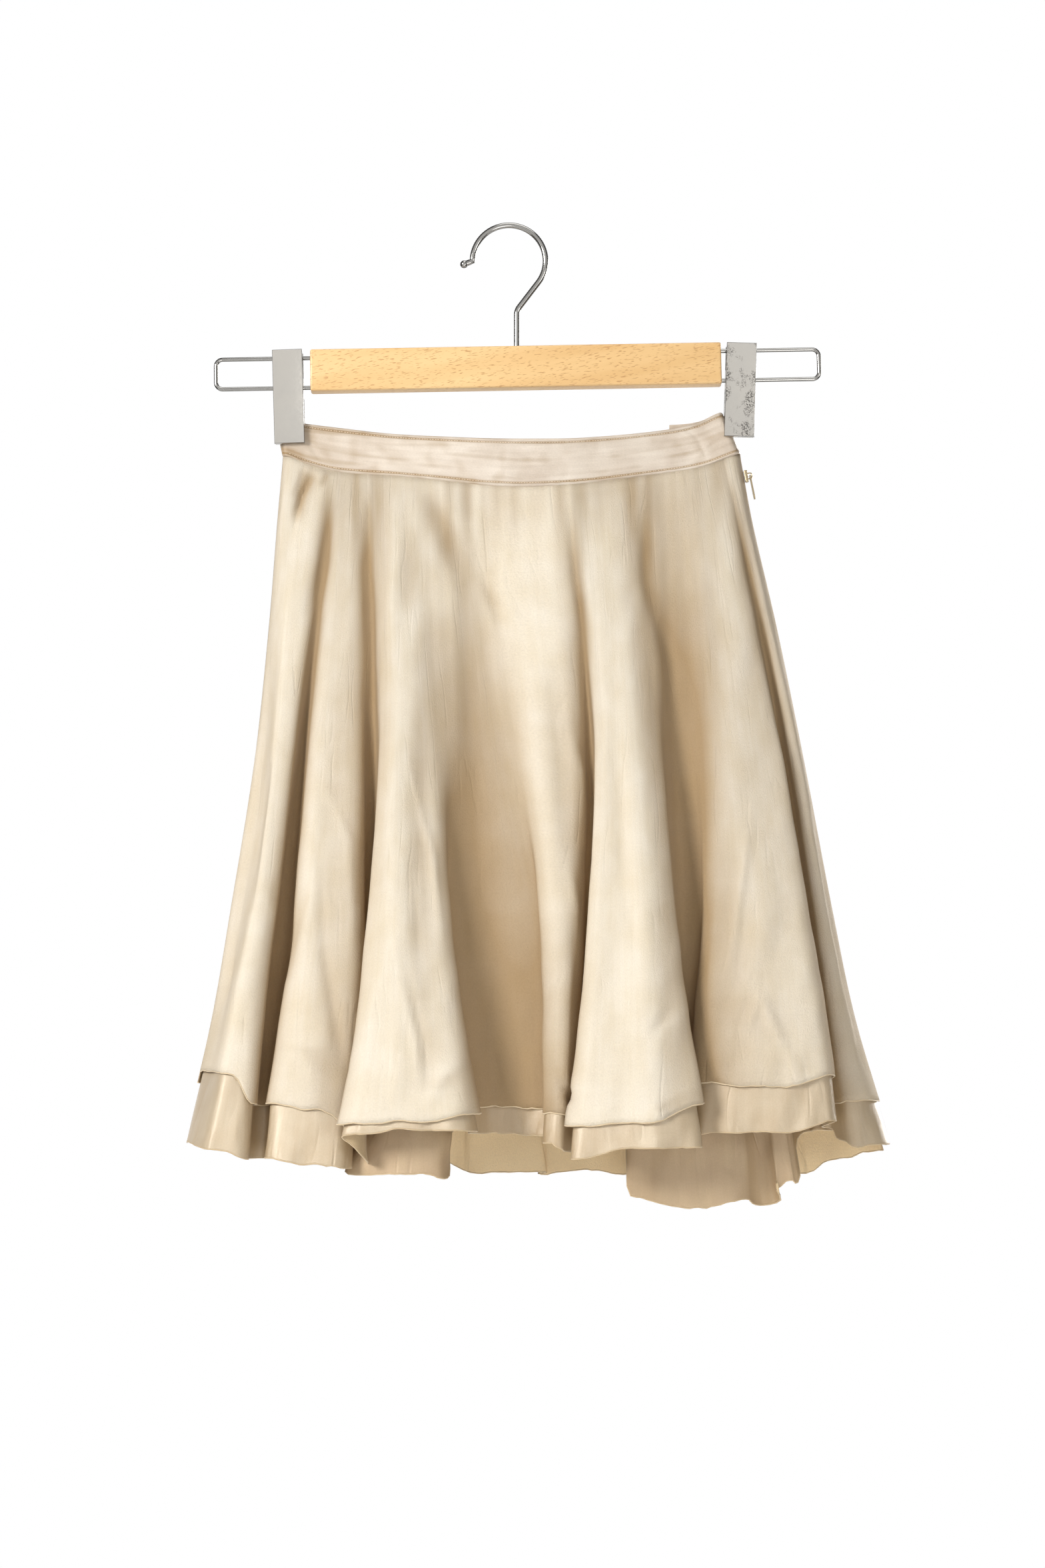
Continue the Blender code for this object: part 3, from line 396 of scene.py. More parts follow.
# The painted fold shade counts shallow folds near the band as deeper ones.
SHALLOW_GAIN = 2.6        # how much the shallow folds near the band count as deeper ones
SHALLOW_DROP = 290.0
SHADE_REACH = 44          # columns that a fold's shade is looked for, to each side
LIT_WEIGHT = 0.66         # of a fold's shading that comes from its lit side
SIDE_OPEN = 0.5           # of a fold's shade that a side seam, standing out, does not get
SIDE_RUN = 24.0           # over which that fades, as far again from the seam
SEAM_FLAT = 12.0          # beside a side seam, where the ripples fade out

Ripple = namedtuple("Ripple", "wide tall seed")
FINE, SLANTED, BROAD = Ripple(9, 70, 0), Ripple(13, 60, 3), Ripple(26, 120, 5)
PLEATS, WAVES, CURLS = Ripple(7.5, 260, 7), Ripple(15, 200, 9), Ripple(20, 300, 13)
PATCHES = Ripple(40, 900, 21)
SWAYS = {1.6: Ripple(24, 900, 17), 1.0: Ripple(8, 900, 19), 0.5: Ripple(3.1, 900, 23)}
SLANT = 0.35
BAND_REACH = 45.0         # of the pleats under the band
WAVE_REACH, CURL_REACH, SWAY_REACH = 45.0, 14.0, 60.0      # above the hem


def curve_through(points, counts):
    """A centripetal curve through each row of points (rows, knots, 2), counts[i] steps a span."""
    first = points[:, 1:2] * (1, -1)
    last = points[:, -2:-1] * (1, -1)
    knots = np.concatenate((first, points, last), axis=1)
    runs = np.sqrt(np.linalg.norm(np.diff(knots, axis=1), axis=2) + 1e-6)
    lines = []
    for i, count in enumerate(counts):
        a, b, c, d = (knots[:, i + k] for k in range(4))
        t1 = runs[:, i]
        t2 = t1 + runs[:, i + 1]
        t3 = t2 + runs[:, i + 2]
        for step in range(count):
            t = t1 + (t2 - t1) * step / count
            ab = a + (b - a) * (t / t1)[:, None]
            bc = b + (c - b) * ((t - t1) / (t2 - t1))[:, None]
            cd = c + (d - c) * ((t - t2) / (t3 - t2))[:, None]
            abc = ab + (bc - ab) * (t / t2)[:, None]
            bcd = bc + (cd - bc) * ((t - t1) / (t3 - t1))[:, None]
            lines.append(abc + (bcd - abc) * ((t - t1) / (t2 - t1))[:, None])
    lines.append(points[:, -1])
    return np.stack(lines, axis=1)


def values_through(values, counts, line):
    """The columns' values along a row of points, softened over a few millimetres."""
    run = np.concatenate(([0], np.cumsum(np.linalg.norm(np.diff(line, axis=0), axis=1))))
    knots = run[np.concatenate(([0], np.cumsum(counts)))]
    return blurred(np.interp(run, knots, values)[None, :], 1.1)[0]


def blurred(rows, spread_columns):
    """Rows averaged over neighbouring columns, by one amount or one for each row."""
    amounts = np.broadcast_to(spread_columns, rows.shape[:1])
    out = rows.copy()
    for r, amount in enumerate(amounts):
        if amount < 0.3:
            continue
        reach = int(3 * amount) + 1
        weights = np.exp(-(np.arange(-reach, reach + 1) / amount) ** 2 / 2)
        odd_left = 2 * rows[r, :1] - rows[r, reach:0:-1]
        odd_right = 2 * rows[r, -1:] - rows[r, -2:-reach - 2:-1]
        padded = np.concatenate((odd_left, rows[r], odd_right))
        out[r] = np.convolve(padded, weights / weights.sum(), mode="valid")
    return out


def crease_height(creases, x, drop):
    """The creases' height at each point of two arrays."""
    height = np.zeros_like(x)
    for c in creases:
        best = np.zeros_like(x)
        ends = ((c.x1, c.drop1, c.x2, c.drop2, 0), (c.x2, c.drop2, c.x3, c.drop3, 0.5))
        for x1, d1, x2, d2, before in ends:
            run = (x2 - x1) ** 2 + (d2 - d1) ** 2
            share = np.clip(((x - x1) * (x2 - x1) + (drop - d1) * (d2 - d1)) / run, 0, 1)
            away = np.hypot(x - x1 - share * (x2 - x1), drop - d1 - share * (d2 - d1))
            along = before + share / 2
            fade = 0.25 + 0.75 * np.sin(np.pi * along)
            best = np.maximum(best, fade * np.exp(-(away / c.width) ** 2))
        height += c.height * best
    return height


def ripples(x, drop, ripple, seed):
    """Soft streaks down the cloth, from -1 to 1."""
    flat = [noise.noise(Vector((a / ripple.wide, b / ripple.tall, seed + ripple.seed)))
            for a, b in zip(x.ravel(), drop.ravel())]
    return np.array(flat).reshape(x.shape)


def ramp(value, run):
    return np.clip(value / run, 0, 1)


def shadowed(x, depth, lit_from):
    """How much each point of a row is shut in, most where the lit side is shut off, 0 to 1."""
    shut = np.zeros(x.shape)
    for side in (-1, 1):
        steepest = np.zeros(x.shape)
        for step in range(1, SHADE_REACH):
            ahead = np.roll(depth, -side * step, axis=1) - depth
            apart = np.abs(np.roll(x, -side * step, axis=1) - x) + 3.0
            slope = ahead / apart
            slope[:, slice(-step, None) if side > 0 else slice(step)] = 0
            steepest = np.maximum(steepest, slope)
        weight = LIT_WEIGHT if side == lit_from else 1 - LIT_WEIGHT
        shut += steepest / np.sqrt(1 + steepest ** 2) * weight
    return np.clip(shut, 0, 1)


def place_grid(bm, columns, rows, place, coat):
    """Starts from a grid of columns x rows vertices and puts each in its place."""
    layer = bm.loops.layers.uv.new("Cloth")
    bmesh.ops.create_grid(bm, x_segments=columns - 1, y_segments=rows - 1, size=1)
    spots = {}
    for vert in bm.verts:
        c = round((vert.co.x + 1) / 2 * (columns - 1))
        r = round((1 - vert.co.y) / 2 * (rows - 1))
        spots[vert] = (c, r)
    for face in bm.faces:
        for loop in face.loops:
            loop[layer].uv = coat(*spots[loop.vert])
    for vert, (c, r) in spots.items():
        vert.co = place(c, r)
    return spots


def finish_mesh(name, bm, *materials):
    mesh = bpy.data.meshes.new(name)
    bm.to_mesh(mesh)
    bm.free()
    mesh.shade_smooth()
    for material in materials:
        mesh.materials.append(material)
    ob = bpy.data.objects.new(name, mesh)
    bpy.context.scene.collection.objects.link(ob)
    return ob


def world(side, x, depth, drop):
    return Vector((x * MM, side * depth * MM, -drop * MM))


def close_tube(bm, distance):
    """Joins the tube's first and last rows and fills its ends."""
    bmesh.ops.remove_doubles(bm, verts=bm.verts, dist=distance)
    bmesh.ops.holes_fill(bm, edges=[e for e in bm.edges if e.is_boundary], sides=0)
    bmesh.ops.recalc_face_normals(bm, faces=bm.faces)


def tube(name, path, radius, material, sides=14, uneven=0.0):
    """A round tube along points in metres, with closed ends."""
    bm = bmesh.new()
    count = len(path)
    frames = []
    across = None
    length = [0.0]
    for i, point in enumerate(path):
        along = (path[min(i + 1, count - 1)] - path[max(i - 1, 0)]).normalized()
        if across is None:
            across = along.orthogonal().normalized()
        across = (across - along * across.dot(along)).normalized()
        frames.append((point, across, along.cross(across)))
        if i:
            length.append(length[-1] + (point - path[i - 1]).length)

    def place(c, r):
        point, u, v = frames[c]
        turn = 2 * math.pi * r / sides
        size = radius * (1 + uneven * noise.noise(Vector((c * 0.8, 0.5, 0.5))))
        return point + size * (u * math.cos(turn) + v * math.sin(turn))

    place_grid(bm, count, sides + 1, place, lambda c, r: (length[c] * 100, r / sides))
    close_tube(bm, radius * 1e-3)
    ob = finish_mesh(name, bm, material)
    ob.data.set_sharp_from_angle(angle=math.radians(50))
    return ob


def panel_grid(folds, hems, layer, rows):
    """Outer points of a layer's panel as arrays x, depth, drop, each (rows, columns)."""
    ease = layer.ease * (np.array(LEVELS) - LEVELS[0]) / (FULL_DROP - LEVELS[0])
    columns = fold_columns(folds, hems, SIDE_LEFT + ease, SIDE_RIGHT - ease)
    shares = [1 - (1 - i / (rows - 1)) ** layer.low_crowd for i in range(rows)]
    knots = []
    for share in shares:
        drops = [c.top + share * (c.hem - c.top) for c in columns]
        flare = layer.flare * max(0, (share - 0.8) / 0.2) ** 1.5
        late = layer.late_flare * smoothstep(0.93, 1, share)
        row = [c.point(d, flare + (late if c.flare < 0 else -late / 2))
               for c, d in zip(columns, drops)]
        inset = [mix(layer.top_inset, layer.low_inset, smoothstep(0, INSET_RUN, d - c.top))
                 for c, d in zip(columns, drops)]
        knots.append(inset_row(row, inset))
    knots = np.array(knots)
    spans = np.linalg.norm(np.diff(knots[int(rows * 0.85)], axis=0), axis=1)
    counts = [max(2, min(9, round(span / STEP_MM))) for span in spans]
    line = curve_through(knots, counts)
    tops = values_through([c.top for c in columns], counts, line[0])
    ends = values_through([c.hem for c in columns], counts, line[-1])
    drop = tops[None, :] + np.array(shares)[:, None] * (ends - tops)[None, :]
    soft = SOFT_COLUMNS * np.clip(1 - (np.median(drop, axis=1) - tops.mean()) / SOFT_DROP, 0, 1)
    return blurred(line[:, :, 0], soft), blurred(line[:, :, 1], soft), drop


def lift(x, depth, height):
    """Moves the rows' points outwards, square to each row."""
    dx, dd = np.gradient(x, axis=1), np.gradient(depth, axis=1)
    size = np.hypot(dx, dd) + 1e-9
    return x - dd / size * height, depth + dx / size * height


def panel_relief(x, drop, creases, layer, seed):
    """How far a panel stands out of its plain folds, and the painted shade under its band, where
    its gathers are.
    """
    below, above = drop - drop[0], drop[-1] - drop
    down, low = ramp(below, 25), ramp(drop - 380, 200)
    height = 2.6 * crease_height(creases, x, drop) * ramp(below + 1.5, 10)
    height += layer.fine * (0.4 + low) * ripples(x, drop, FINE, seed) * down
    height += (0.3 + 0.8 * low) * ripples(x + SLANT * drop, drop, SLANTED, seed) * down
    height += 1.5 * ripples(x, drop, BROAD, seed) * down
    near_band = np.exp(-(below / BAND_REACH) ** 2)
    patch = np.clip(0.35 + 1.6 * ripples(x, drop, PATCHES, seed), 0, 1)
    pleat = patch * ripples(x, drop, PLEATS, seed)
    height += 0.6 * near_band * pleat * ramp(below, 6)
    if layer.wave:
        near_hem = ramp(WAVE_REACH - above, WAVE_REACH)
        height += layer.wave * near_hem * ripples(x, drop, WAVES, seed)
    curl = ramp(CURL_REACH - above, CURL_REACH) ** 2
    height += 2.4 * curl * ripples(x, drop, CURLS, seed)
    # Painted shade under the band: darker where the gathers bunch, lighter on their ridges.
    return height, near_band * (0.10 + 0.12 * patch - 0.3 * pleat)


def panel_shade(x, depth, drop, side, from_side, under_band_shade):
    """How much painted shade each point gets, 0 to 1: how far it lies inside the folds, how
    steeply it turns away from the front, and the painted shade under the band.
    """
    gain = 1 + (SHALLOW_GAIN - 1) * ramp(SHALLOW_DROP - drop + drop[0], SHALLOW_DROP)
    shut = blurred(shadowed(x, depth * gain, side), 1.5)
    dx, dd = np.gradient(x, axis=1), np.gradient(depth, axis=1)
    # Painted shade on flanks that turn away from the front, plus the painted shade under the
    # band.
    shut += 0.10 * dd ** 2 / (dx ** 2 + dd ** 2 + 1e-9) + under_band_shade
    shut *= 1 - SIDE_OPEN * ramp(2 * SIDE_RUN - from_side, SIDE_RUN)
    return np.clip(shut, 0, 1)


def make_cloth(name, side, folds, hems, creases, layer, rows, materials, hem_material):
    """A panel of one layer and its rolled hem."""
    seed = layer.seed + side
    x, depth, drop = panel_grid(folds, hems, layer, rows)
    columns = range(x.shape[1])
    drop[0] -= TUCK
    span = np.linspace(0, 1, len(columns))
    from_side = np.minimum(span, 1 - span) * len(columns) * STEP_MM
    fade = ramp(from_side, SEAM_FLAT) ** 2
    height, under_band_shade = panel_relief(x, drop, creases, layer, seed)
    x, depth = lift(x, depth, height * fade)
    sway = sum(tall * ripples(x[-1:], drop[-1:], ripple, seed) for tall, ripple in SWAYS.items())
    drop = drop + sway * ramp(SWAY_REACH - drop[-1] + drop, SWAY_REACH) * fade
    # Painted shade: how much of the shadow colour each point takes, kept in a vertex layer that
    # the material reads.
    shut = panel_shade(x, depth, drop, side, from_side, under_band_shade)
    run = np.concatenate(([0], np.cumsum(np.hypot(np.diff(x[-1]), np.diff(depth[-1])))))
    bm = bmesh.new()
    tone = bm.verts.layers.float.new("Valley")
    spots = place_grid(bm, len(columns), rows,
                       lambda c, r: world(side, x[r, c], depth[r, c], drop[r, c]),
                       lambda c, r: (run[c] / 10, -drop[r, c] / 10))
    for vert, (c, r) in spots.items():
        vert[tone] = shut[r, c]
    if side > 0:
        bmesh.ops.reverse_faces(bm, faces=bm.faces)
    cloth = finish_mesh(name, bm, *materials)
    wall = cloth.modifiers.new("cloth thickness", "SOLIDIFY")
    wall.thickness = CLOTH_WALL * MM
    wall.offset = -1
    wall.use_even_offset = False
    wall.material_offset = 1
    wall.material_offset_rim = 0
    path_x, path_depth = lift(x, depth, np.full(x.shape, -CLOTH_WALL / 2))
    path = [world(side, path_x[-1, c], path_depth[-1, c], drop[-1, c] + 0.15) for c in columns]
    return cloth, tube(name + "_hem", path, 0.5 * MM, hem_material, 8, uneven=0.3)


def settle(piece, node=None):
    """Gives a piece to the skirt's body, in place of a CAD node if one is named, which it hides.
    """
    if node:
        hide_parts(node)
    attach(piece, BODY)


FRONT_AND_BACK = {-1: "front", 1: "back"}
Cut = namedtuple("Cut", "hem_width length area")


def make_layer(slot, layer, rows, shapes, materials, hem_material):
    """A layer's front and back panels; shapes has each one's folds, hem drops and creases."""
    for (side, word), shape in zip(FRONT_AND_BACK.items(), shapes):
        cloth, hem = make_cloth(f"{slot}_{word}_panel", side, *shape, layer, rows, materials,
                                hem_material)
        settle(cloth, f"{slot}_{word}")
        settle(hem)


# Materials

def feed(socket, value):
    """Links another node's output to an input, or sets the input to a plain value."""
    if isinstance(value, bpy.types.NodeSocket):
        socket.id_data.links.new(value, socket)
    else:
        socket.default_value = value


def set_values(made, **values):
    """Feeds a node's inputs by name; an underscore stands for a space."""
    for key, value in values.items():
        feed(made.inputs[key.replace("_", " ")], value)


def new_material(name):
    material = bpy.data.materials.new(name)
    material.use_nodes = True
    tree = material.node_tree
    return material, tree, tree.nodes["Principled BSDF"]


def node(tree, kind, **values):
    made = tree.nodes.new("ShaderNode" + kind)
    set_values(made, **values)
    return made


def math_node(tree, operation, a, b=None, clamp=False):
    made = tree.nodes.new("ShaderNodeMath")
    made.operation = operation
    made.use_clamp = clamp
    feed(made.inputs[0], a)
    if b is not None:
        feed(made.inputs[1], b)
    return made.outputs[0]


def times(tree, a, b):
    return math_node(tree, "MULTIPLY", a, b)


def plus(tree, a, b):
    return math_node(tree, "ADD", a, b)


def turns_wave(tree, turns):
    return math_node(tree, "SINE", times(tree, turns, 2 * math.pi))


def mix_colour(tree, share, a, b):
    made = tree.nodes.new("ShaderNodeMix")
    made.data_type = "RGBA"
    for i, value in ((0, share), (6, a), (7, b)):
        feed(made.inputs[i], value)
    return made.outputs[2]


def scaled(tree, vector, x, y, z):
    return node(tree, "Mapping", Vector=vector, Scale=(x, y, z)).outputs[0]


def noise_value(tree, vector, scale, detail=2.0, roughness=0.5):
    return node(tree, "TexNoise", Vector=vector, Scale=scale, Detail=detail,
                Roughness=roughness).outputs["Fac"]


def spread(tree, value, low, high, to_low=0.0, to_high=1.0):
    return node(tree, "MapRange", Value=value, From_Min=low, From_Max=high, To_Min=to_low,
                To_Max=to_high).outputs[0]


def group(name, inputs, outputs, build):
    """A node group that is built once and placed in each material that uses it."""
    tree = bpy.data.node_groups.get(name)
    if tree is None:
        tree = bpy.data.node_groups.new(name, "ShaderNodeTree")
        for label, kind in inputs.items():
            tree.interface.new_socket(label, in_out="INPUT", socket_type=kind)
        for label in outputs:
            tree.interface.new_socket(label, in_out="OUTPUT", socket_type="NodeSocketFloat")
        build(tree, tree.nodes.new("NodeGroupInput").outputs, tree.nodes.new("NodeGroupOutput"))
    return tree


def placed(tree, grouped, **values):
    made = tree.nodes.new("ShaderNodeGroup")
    made.node_tree = grouped
    set_values(made, **values)
    return made.outputs


def build_weave(tree, start, end):
    """Warp and weft ribs, in threads a unit of the coordinates."""
    heights = []
    for axis in (0, 1):
        split = node(tree, "SeparateXYZ", Vector=start["Vector"])
        wave = turns_wave(tree, times(tree, split.outputs[axis], start["Threads"]))
        heights.append(math_node(tree, "ABSOLUTE", wave))
    set_values(end, Height=math_node(tree, "MAXIMUM", *heights))


def weave_group():
    return group("plain weave", {"Vector": "NodeSocketVector", "Threads": "NodeSocketFloat"},
                 ("Height",), build_weave)


def build_crepe(tree, start, end):
    """Crinkled grain, a soft mottle, long streaks and thin creases down the cloth."""
    vector = start["Vector"]
    grain = noise_value(tree, scaled(tree, vector, 1, 0.75, 1), 10.0, 3.0, 0.65)
    mottle = noise_value(tree, vector, 0.35, 2.0)
    streak = noise_value(tree, scaled(tree, vector, 1, 0.06, 1), 2.6, 3.0)
    lines = noise_value(tree, scaled(tree, vector, 1, 0.24, 1), 0.55, 1.5)
    off_line = math_node(tree, "ABSOLUTE", math_node(tree, "SUBTRACT", lines, 0.5))
    patch = noise_value(tree, scaled(tree, vector, 1, 0.4, 7), 0.5, 1.0)
    fold = times(tree, spread(tree, off_line, 0.0, 0.045, 1.0, 0.0),
                 spread(tree, patch, 0.45, 0.65))
    set_values(end, Grain=grain, Mottle=spread(tree, mottle, 0.3, 0.7),
               Streak=spread(tree, streak, 0.3, 0.7),
               Crinkle=math_node(tree, "SUBTRACT", 1.0, fold))


def crepe_group():
    return group("crepe grain", {"Vector": "NodeSocketVector"},
                 ("Grain", "Mottle", "Streak", "Crinkle"), build_crepe)


def cloth_vector(tree):
    made = tree.nodes.new("ShaderNodeUVMap")
    made.uv_map = "Cloth"
    return made.outputs[0]


def object_vector(tree):
    return tree.nodes.new("ShaderNodeTexCoord").outputs["Object"]


def bump(tree, shader, height, strength, distance):
    made = node(tree, "Bump", Height=height, Strength=strength, Distance=distance)
    set_values(shader, Normal=made.outputs[0])


# Of a woven cloth. Grain and weave are the heights of its relief, threads its threads a
# centimetre, valley how much painted shadow colour its hollows take
Finish = namedtuple("Finish", "roughness sheen grain weave threads valley gloss ior tint",
                    defaults=(1.0, 0.5, 1.5, (1, 1, 1, 1)))
WARM_GLOSS = (1.0, 0.91, 0.78, 1)
CREPE_FACE = Finish(0.82, 0.08, 1.1, 0.15, 18.0, 0.85)
CREPE_INSIDE = Finish(0.9, 0.1, 0.5, 0.12, 18.0, 0.3)
SATIN_FACE = Finish(0.28, 0.05, 0.25, 0.1, 26.0, 0.5, 0.9, 1.7, WARM_GLOSS)
SATIN_INSIDE = Finish(0.85, 0.1, 0.9, 0.3, 16.0, 0.3)
LINING_FACE = Finish(0.34, 0.05, 0.3, 0.15, 24.0, 0.5, 0.8, 1.6, WARM_GLOSS)
LINING_INSIDE = Finish(0.85, 0.1, 1.0, 0.4, 15.0, 0.0, 0.3)
BAND_FACE = Finish(0.30, 0.1, 0.35, 0.1, 24.0, 0.9, 0.8)
CRINKLE_HEIGHT = 0.7


def cloth_material(name, light, deep, shadow, finish):
    """A woven cloth: light and deep are its tones, shadow is the painted shadow colour mixed in
    inside the folds.
    """
    material, tree, shader = new_material(name)
    set_values(shader, Roughness=finish.roughness, Specular_IOR_Level=finish.gloss,
               IOR=finish.ior, Specular_Tint=finish.tint, Sheen_Weight=finish.sheen,
               Sheen_Roughness=0.4)
    vector = cloth_vector(tree)
    crepe = placed(tree, crepe_group(), Vector=vector)
    ribs = placed(tree, weave_group(), Vector=vector, Threads=finish.threads)
    tone = plus(tree, times(tree, crepe["Mottle"], 0.55), times(tree, crepe["Streak"], 0.25))
    colour = mix_colour(tree, tone, light, deep)
    # Painted shade: the mesh's baked shade of the folds mixes the shadow colour into the base
    # colour.
    inside = tree.nodes.new("ShaderNodeAttribute")
    inside.attribute_name = "Valley"
    share = spread(tree, inside.outputs["Fac"], 0.07, 0.52, 0.0, finish.valley)
    colour = mix_colour(tree, share, colour, shadow)
    toned = tree.nodes.new("ShaderNodeVectorMath")
    toned.operation = "SCALE"
    set_values(toned, Vector=colour, Scale=spread(tree, crepe["Grain"], 0.25, 0.75, 0.93, 1.05))
    set_values(shader, Base_Color=toned.outputs[0])
    height = plus(tree, times(tree, crepe["Grain"], finish.grain),
                  times(tree, ribs["Height"], finish.weave))
    height = plus(tree, height, times(tree, crepe["Crinkle"], CRINKLE_HEIGHT))
    bump(tree, shader, height, 1.0, 0.0004)
    return material


def thread_material(name, light, deep, pitch=14.0):
    """Twisted thread over an edge or in a stitch, pitch turns a unit along it."""
    material, tree, shader = new_material(name)
    set_values(shader, Roughness=0.55, Sheen_Weight=0.3)
    vector = cloth_vector(tree)
    split = node(tree, "SeparateXYZ", Vector=vector)
    turned = plus(tree, times(tree, split.outputs[0], pitch), split.outputs[1])
    share = spread(tree, turns_wave(tree, turned), -1, 1)
    uneven = noise_value(tree, vector, 1.3, 3.0)
    set_values(shader, Base_Color=mix_colour(tree, times(tree, share, uneven), light, deep))
    bump(tree, shader, share, 0.5, 0.0002)
    return material


def underlap_material(light, deep):
    material, tree, shader = new_material("underlap satin")
    vector = object_vector(tree)
    colour = mix_colour(tree, noise_value(tree, vector, 120.0, 3.0), light, deep)
    set_values(shader, Roughness=0.4, Sheen_Weight=0.2, Base_Color=colour)
    bump(tree, shader, noise_value(tree, vector, 900.0, 2.0), 0.4, 0.0002)
    return material


def wood_material(light, deep, fleck):
    material, tree, shader = new_material("oiled beech")
    along = node(tree, "Mapping", Vector=object_vector(tree),
                 Rotation=(0, math.radians(9), 0)).outputs[0]
    bands = noise_value(tree, scaled(tree, along, 6, 60, 60), 1.0, 3.0)
    clouds = noise_value(tree, scaled(tree, along, 14, 40, 40), 1.0, 2.0)
    flecks = noise_value(tree, scaled(tree, along, 260, 1500, 1500), 1.0, 1.0, 0.4)
    tone = mix_colour(tree, spread(tree, bands, 0.35, 0.65), light, deep)
    tone = mix_colour(tree, spread(tree, clouds, 0.45, 0.75, 0, 0.3), tone, deep)
    marks = spread(tree, flecks, 0.605, 0.68, 0.0, 0.75)
    set_values(shader, Roughness=0.42, Coat_Weight=0.12, Coat_Roughness=0.3,
               Base_Color=mix_colour(tree, marks, tone, fleck))
    bump(tree, shader, math_node(tree, "SUBTRACT", 1.0, marks), 0.3, 0.0002)
    return material


def metal_material(name, colour, roughness, tarnish, blotch=0.0, rim=1.0):
    """Plated metal with fine scuffs, and blotches of tarnish where there are any."""
    material, tree, shader = new_material(name)
    vector = object_vector(tree)
    scuffs = noise_value(tree, vector, 900.0, 3.0, 0.7)
    clouds = noise_value(tree, vector, 60.0, 4.0, 0.65)
    tone = mix_colour(tree, spread(tree, clouds, 0.4, 0.7, 0, 0.35), colour, tarnish)
    if blotch:
        patches = noise_value(tree, scaled(tree, vector, 1.0, 1.0, 0.7), 85.0, 3.0, 0.6)
        specks = noise_value(tree, vector, 1100.0, 2.0, 0.6)
        marks = math_node(tree, "MULTIPLY", spread(tree, patches, 0.50, 0.60),
                          spread(tree, specks, 0.46, 0.56), clamp=True)
        tone = mix_colour(tree, times(tree, marks, blotch), tone, (0.05, 0.045, 0.04, 1))
    set_values(shader, Metallic=1.0, Specular_Tint=(rim, rim, rim, 1), Base_Color=tone,
               Roughness=spread(tree, scuffs, 0.3, 0.7, roughness, roughness + 0.1))
    return material


def assign(names, material):
    """Gives CAD nodes that stay a finished material."""
    for name in names:
        ob = frame["nodes"][name]
        ob.data.materials.clear()
        ob.data.materials.append(material)


# The user's sizes and colours

def colour_property(name, description, *value):
    return bpy.props.FloatVectorProperty(name=name, description=description,
                                         default=(*value, 1), size=4, min=0, max=1,
                                         subtype="COLOR")


def number_property(name, description, value, **kind):
    return bpy.props.FloatProperty(name=name, description=description, default=value, **kind)


class SkirtClothSettings(bpy.types.PropertyGroup):
    """Colours and finish of the skirt's cloth."""

    chiffon: colour_property("Chiffon", "Tone of the outer layer", 0.82, 0.735, 0.605)
    chiffon_deep: colour_property("Chiffon, deep", "Its darker mottle", 0.72, 0.61, 0.44)
    # Painted shadow colour, mixed into the cloth inside its folds and into the band at its seams
    # and ends.
    fold_shadow: colour_property("Inside the folds", "Tone in the valleys", 0.31, 0.185, 0.065)
    satin: colour_property("Satin", "Tone of the middle layer", 0.57, 0.47, 0.33)
    satin_deep: colour_property("Satin, deep", "Its darker mottle", 0.42, 0.30, 0.17)
    band: colour_property("Waistband", "Tone of the band", 0.76, 0.67, 0.56)
    # The band's darker mottle, partly its own tone and partly painted sheen in long streaks along
    # the satin.
    band_deep: colour_property("Waistband, deep", "Its darker mottle", 0.44, 0.33, 0.23)
    lining: colour_property("Lining", "Tone of its face", 0.56, 0.41, 0.24)
    lining_deep: colour_property("Lining, deep", "Its darker mottle", 0.44, 0.30, 0.18)
    # The inner faces' own yellow tone, raised to a painted brightness that stands in for light
    # shining through the cloth.
    wrong_side: colour_property("Wrong side", "Tone of the inner faces", 0.95, 0.74, 0.45)
    thread: colour_property("Thread", "Tone of stitches and hems", 0.62, 0.47, 0.28)
    rows: bpy.props.IntProperty(name="Rows", description="Rows of the outer cloth, band to hem",
                                default=104, min=20, max=160)


class SkirtHangerSettings(bpy.types.PropertyGroup):
    """Colours of the hanger and the zip."""

    wood: colour_property("Wood", "Tone of the bar", 0.81, 0.55, 0.26)
    wood_deep: colour_property("Wood, deep", "Tone of its grain", 0.72, 0.45, 0.19)
    fleck: colour_property("Flecks", "Tone of the beech's flecks", 0.50, 0.25, 0.09)
    chrome: colour_property("Chrome", "Tone of the plating", 0.58, 0.55, 0.50)
    wire: colour_property("Wire", "Tone of the plated wire", 0.36, 0.35, 0.33)
    tab: colour_property("Zip tab", "Tone of the zip's pull", 0.40, 0.32, 0.20)


class SkirtStageSettings(bpy.types.PropertyGroup):
    """The floor, light and camera."""

    aim: bpy.props.FloatVectorProperty(
        name="Aim", description="Point the camera looks at", default=(0.00905, 0, -0.3758),
        subtype="XYZ", unit="LENGTH")
    distance: number_property("Distance", "Camera to aim point", 2.4, unit="LENGTH")
    elevation: number_property("Elevation", "Camera above the aim", math.radians(-6.5),
                               subtype="ANGLE")
    lens: number_property("Lens", "Focal length in millimetres", 83.49)
    key: number_property("Key light", "Power of the main light in watts", 58.0)
    fill: number_property("Fill light", "Power of the fill in watts", 9.0)
    low: number_property("Low light", "Power of the low light in watts", 10.0)
    sky: number_property("Surroundings", "Light from all round", 0.18)


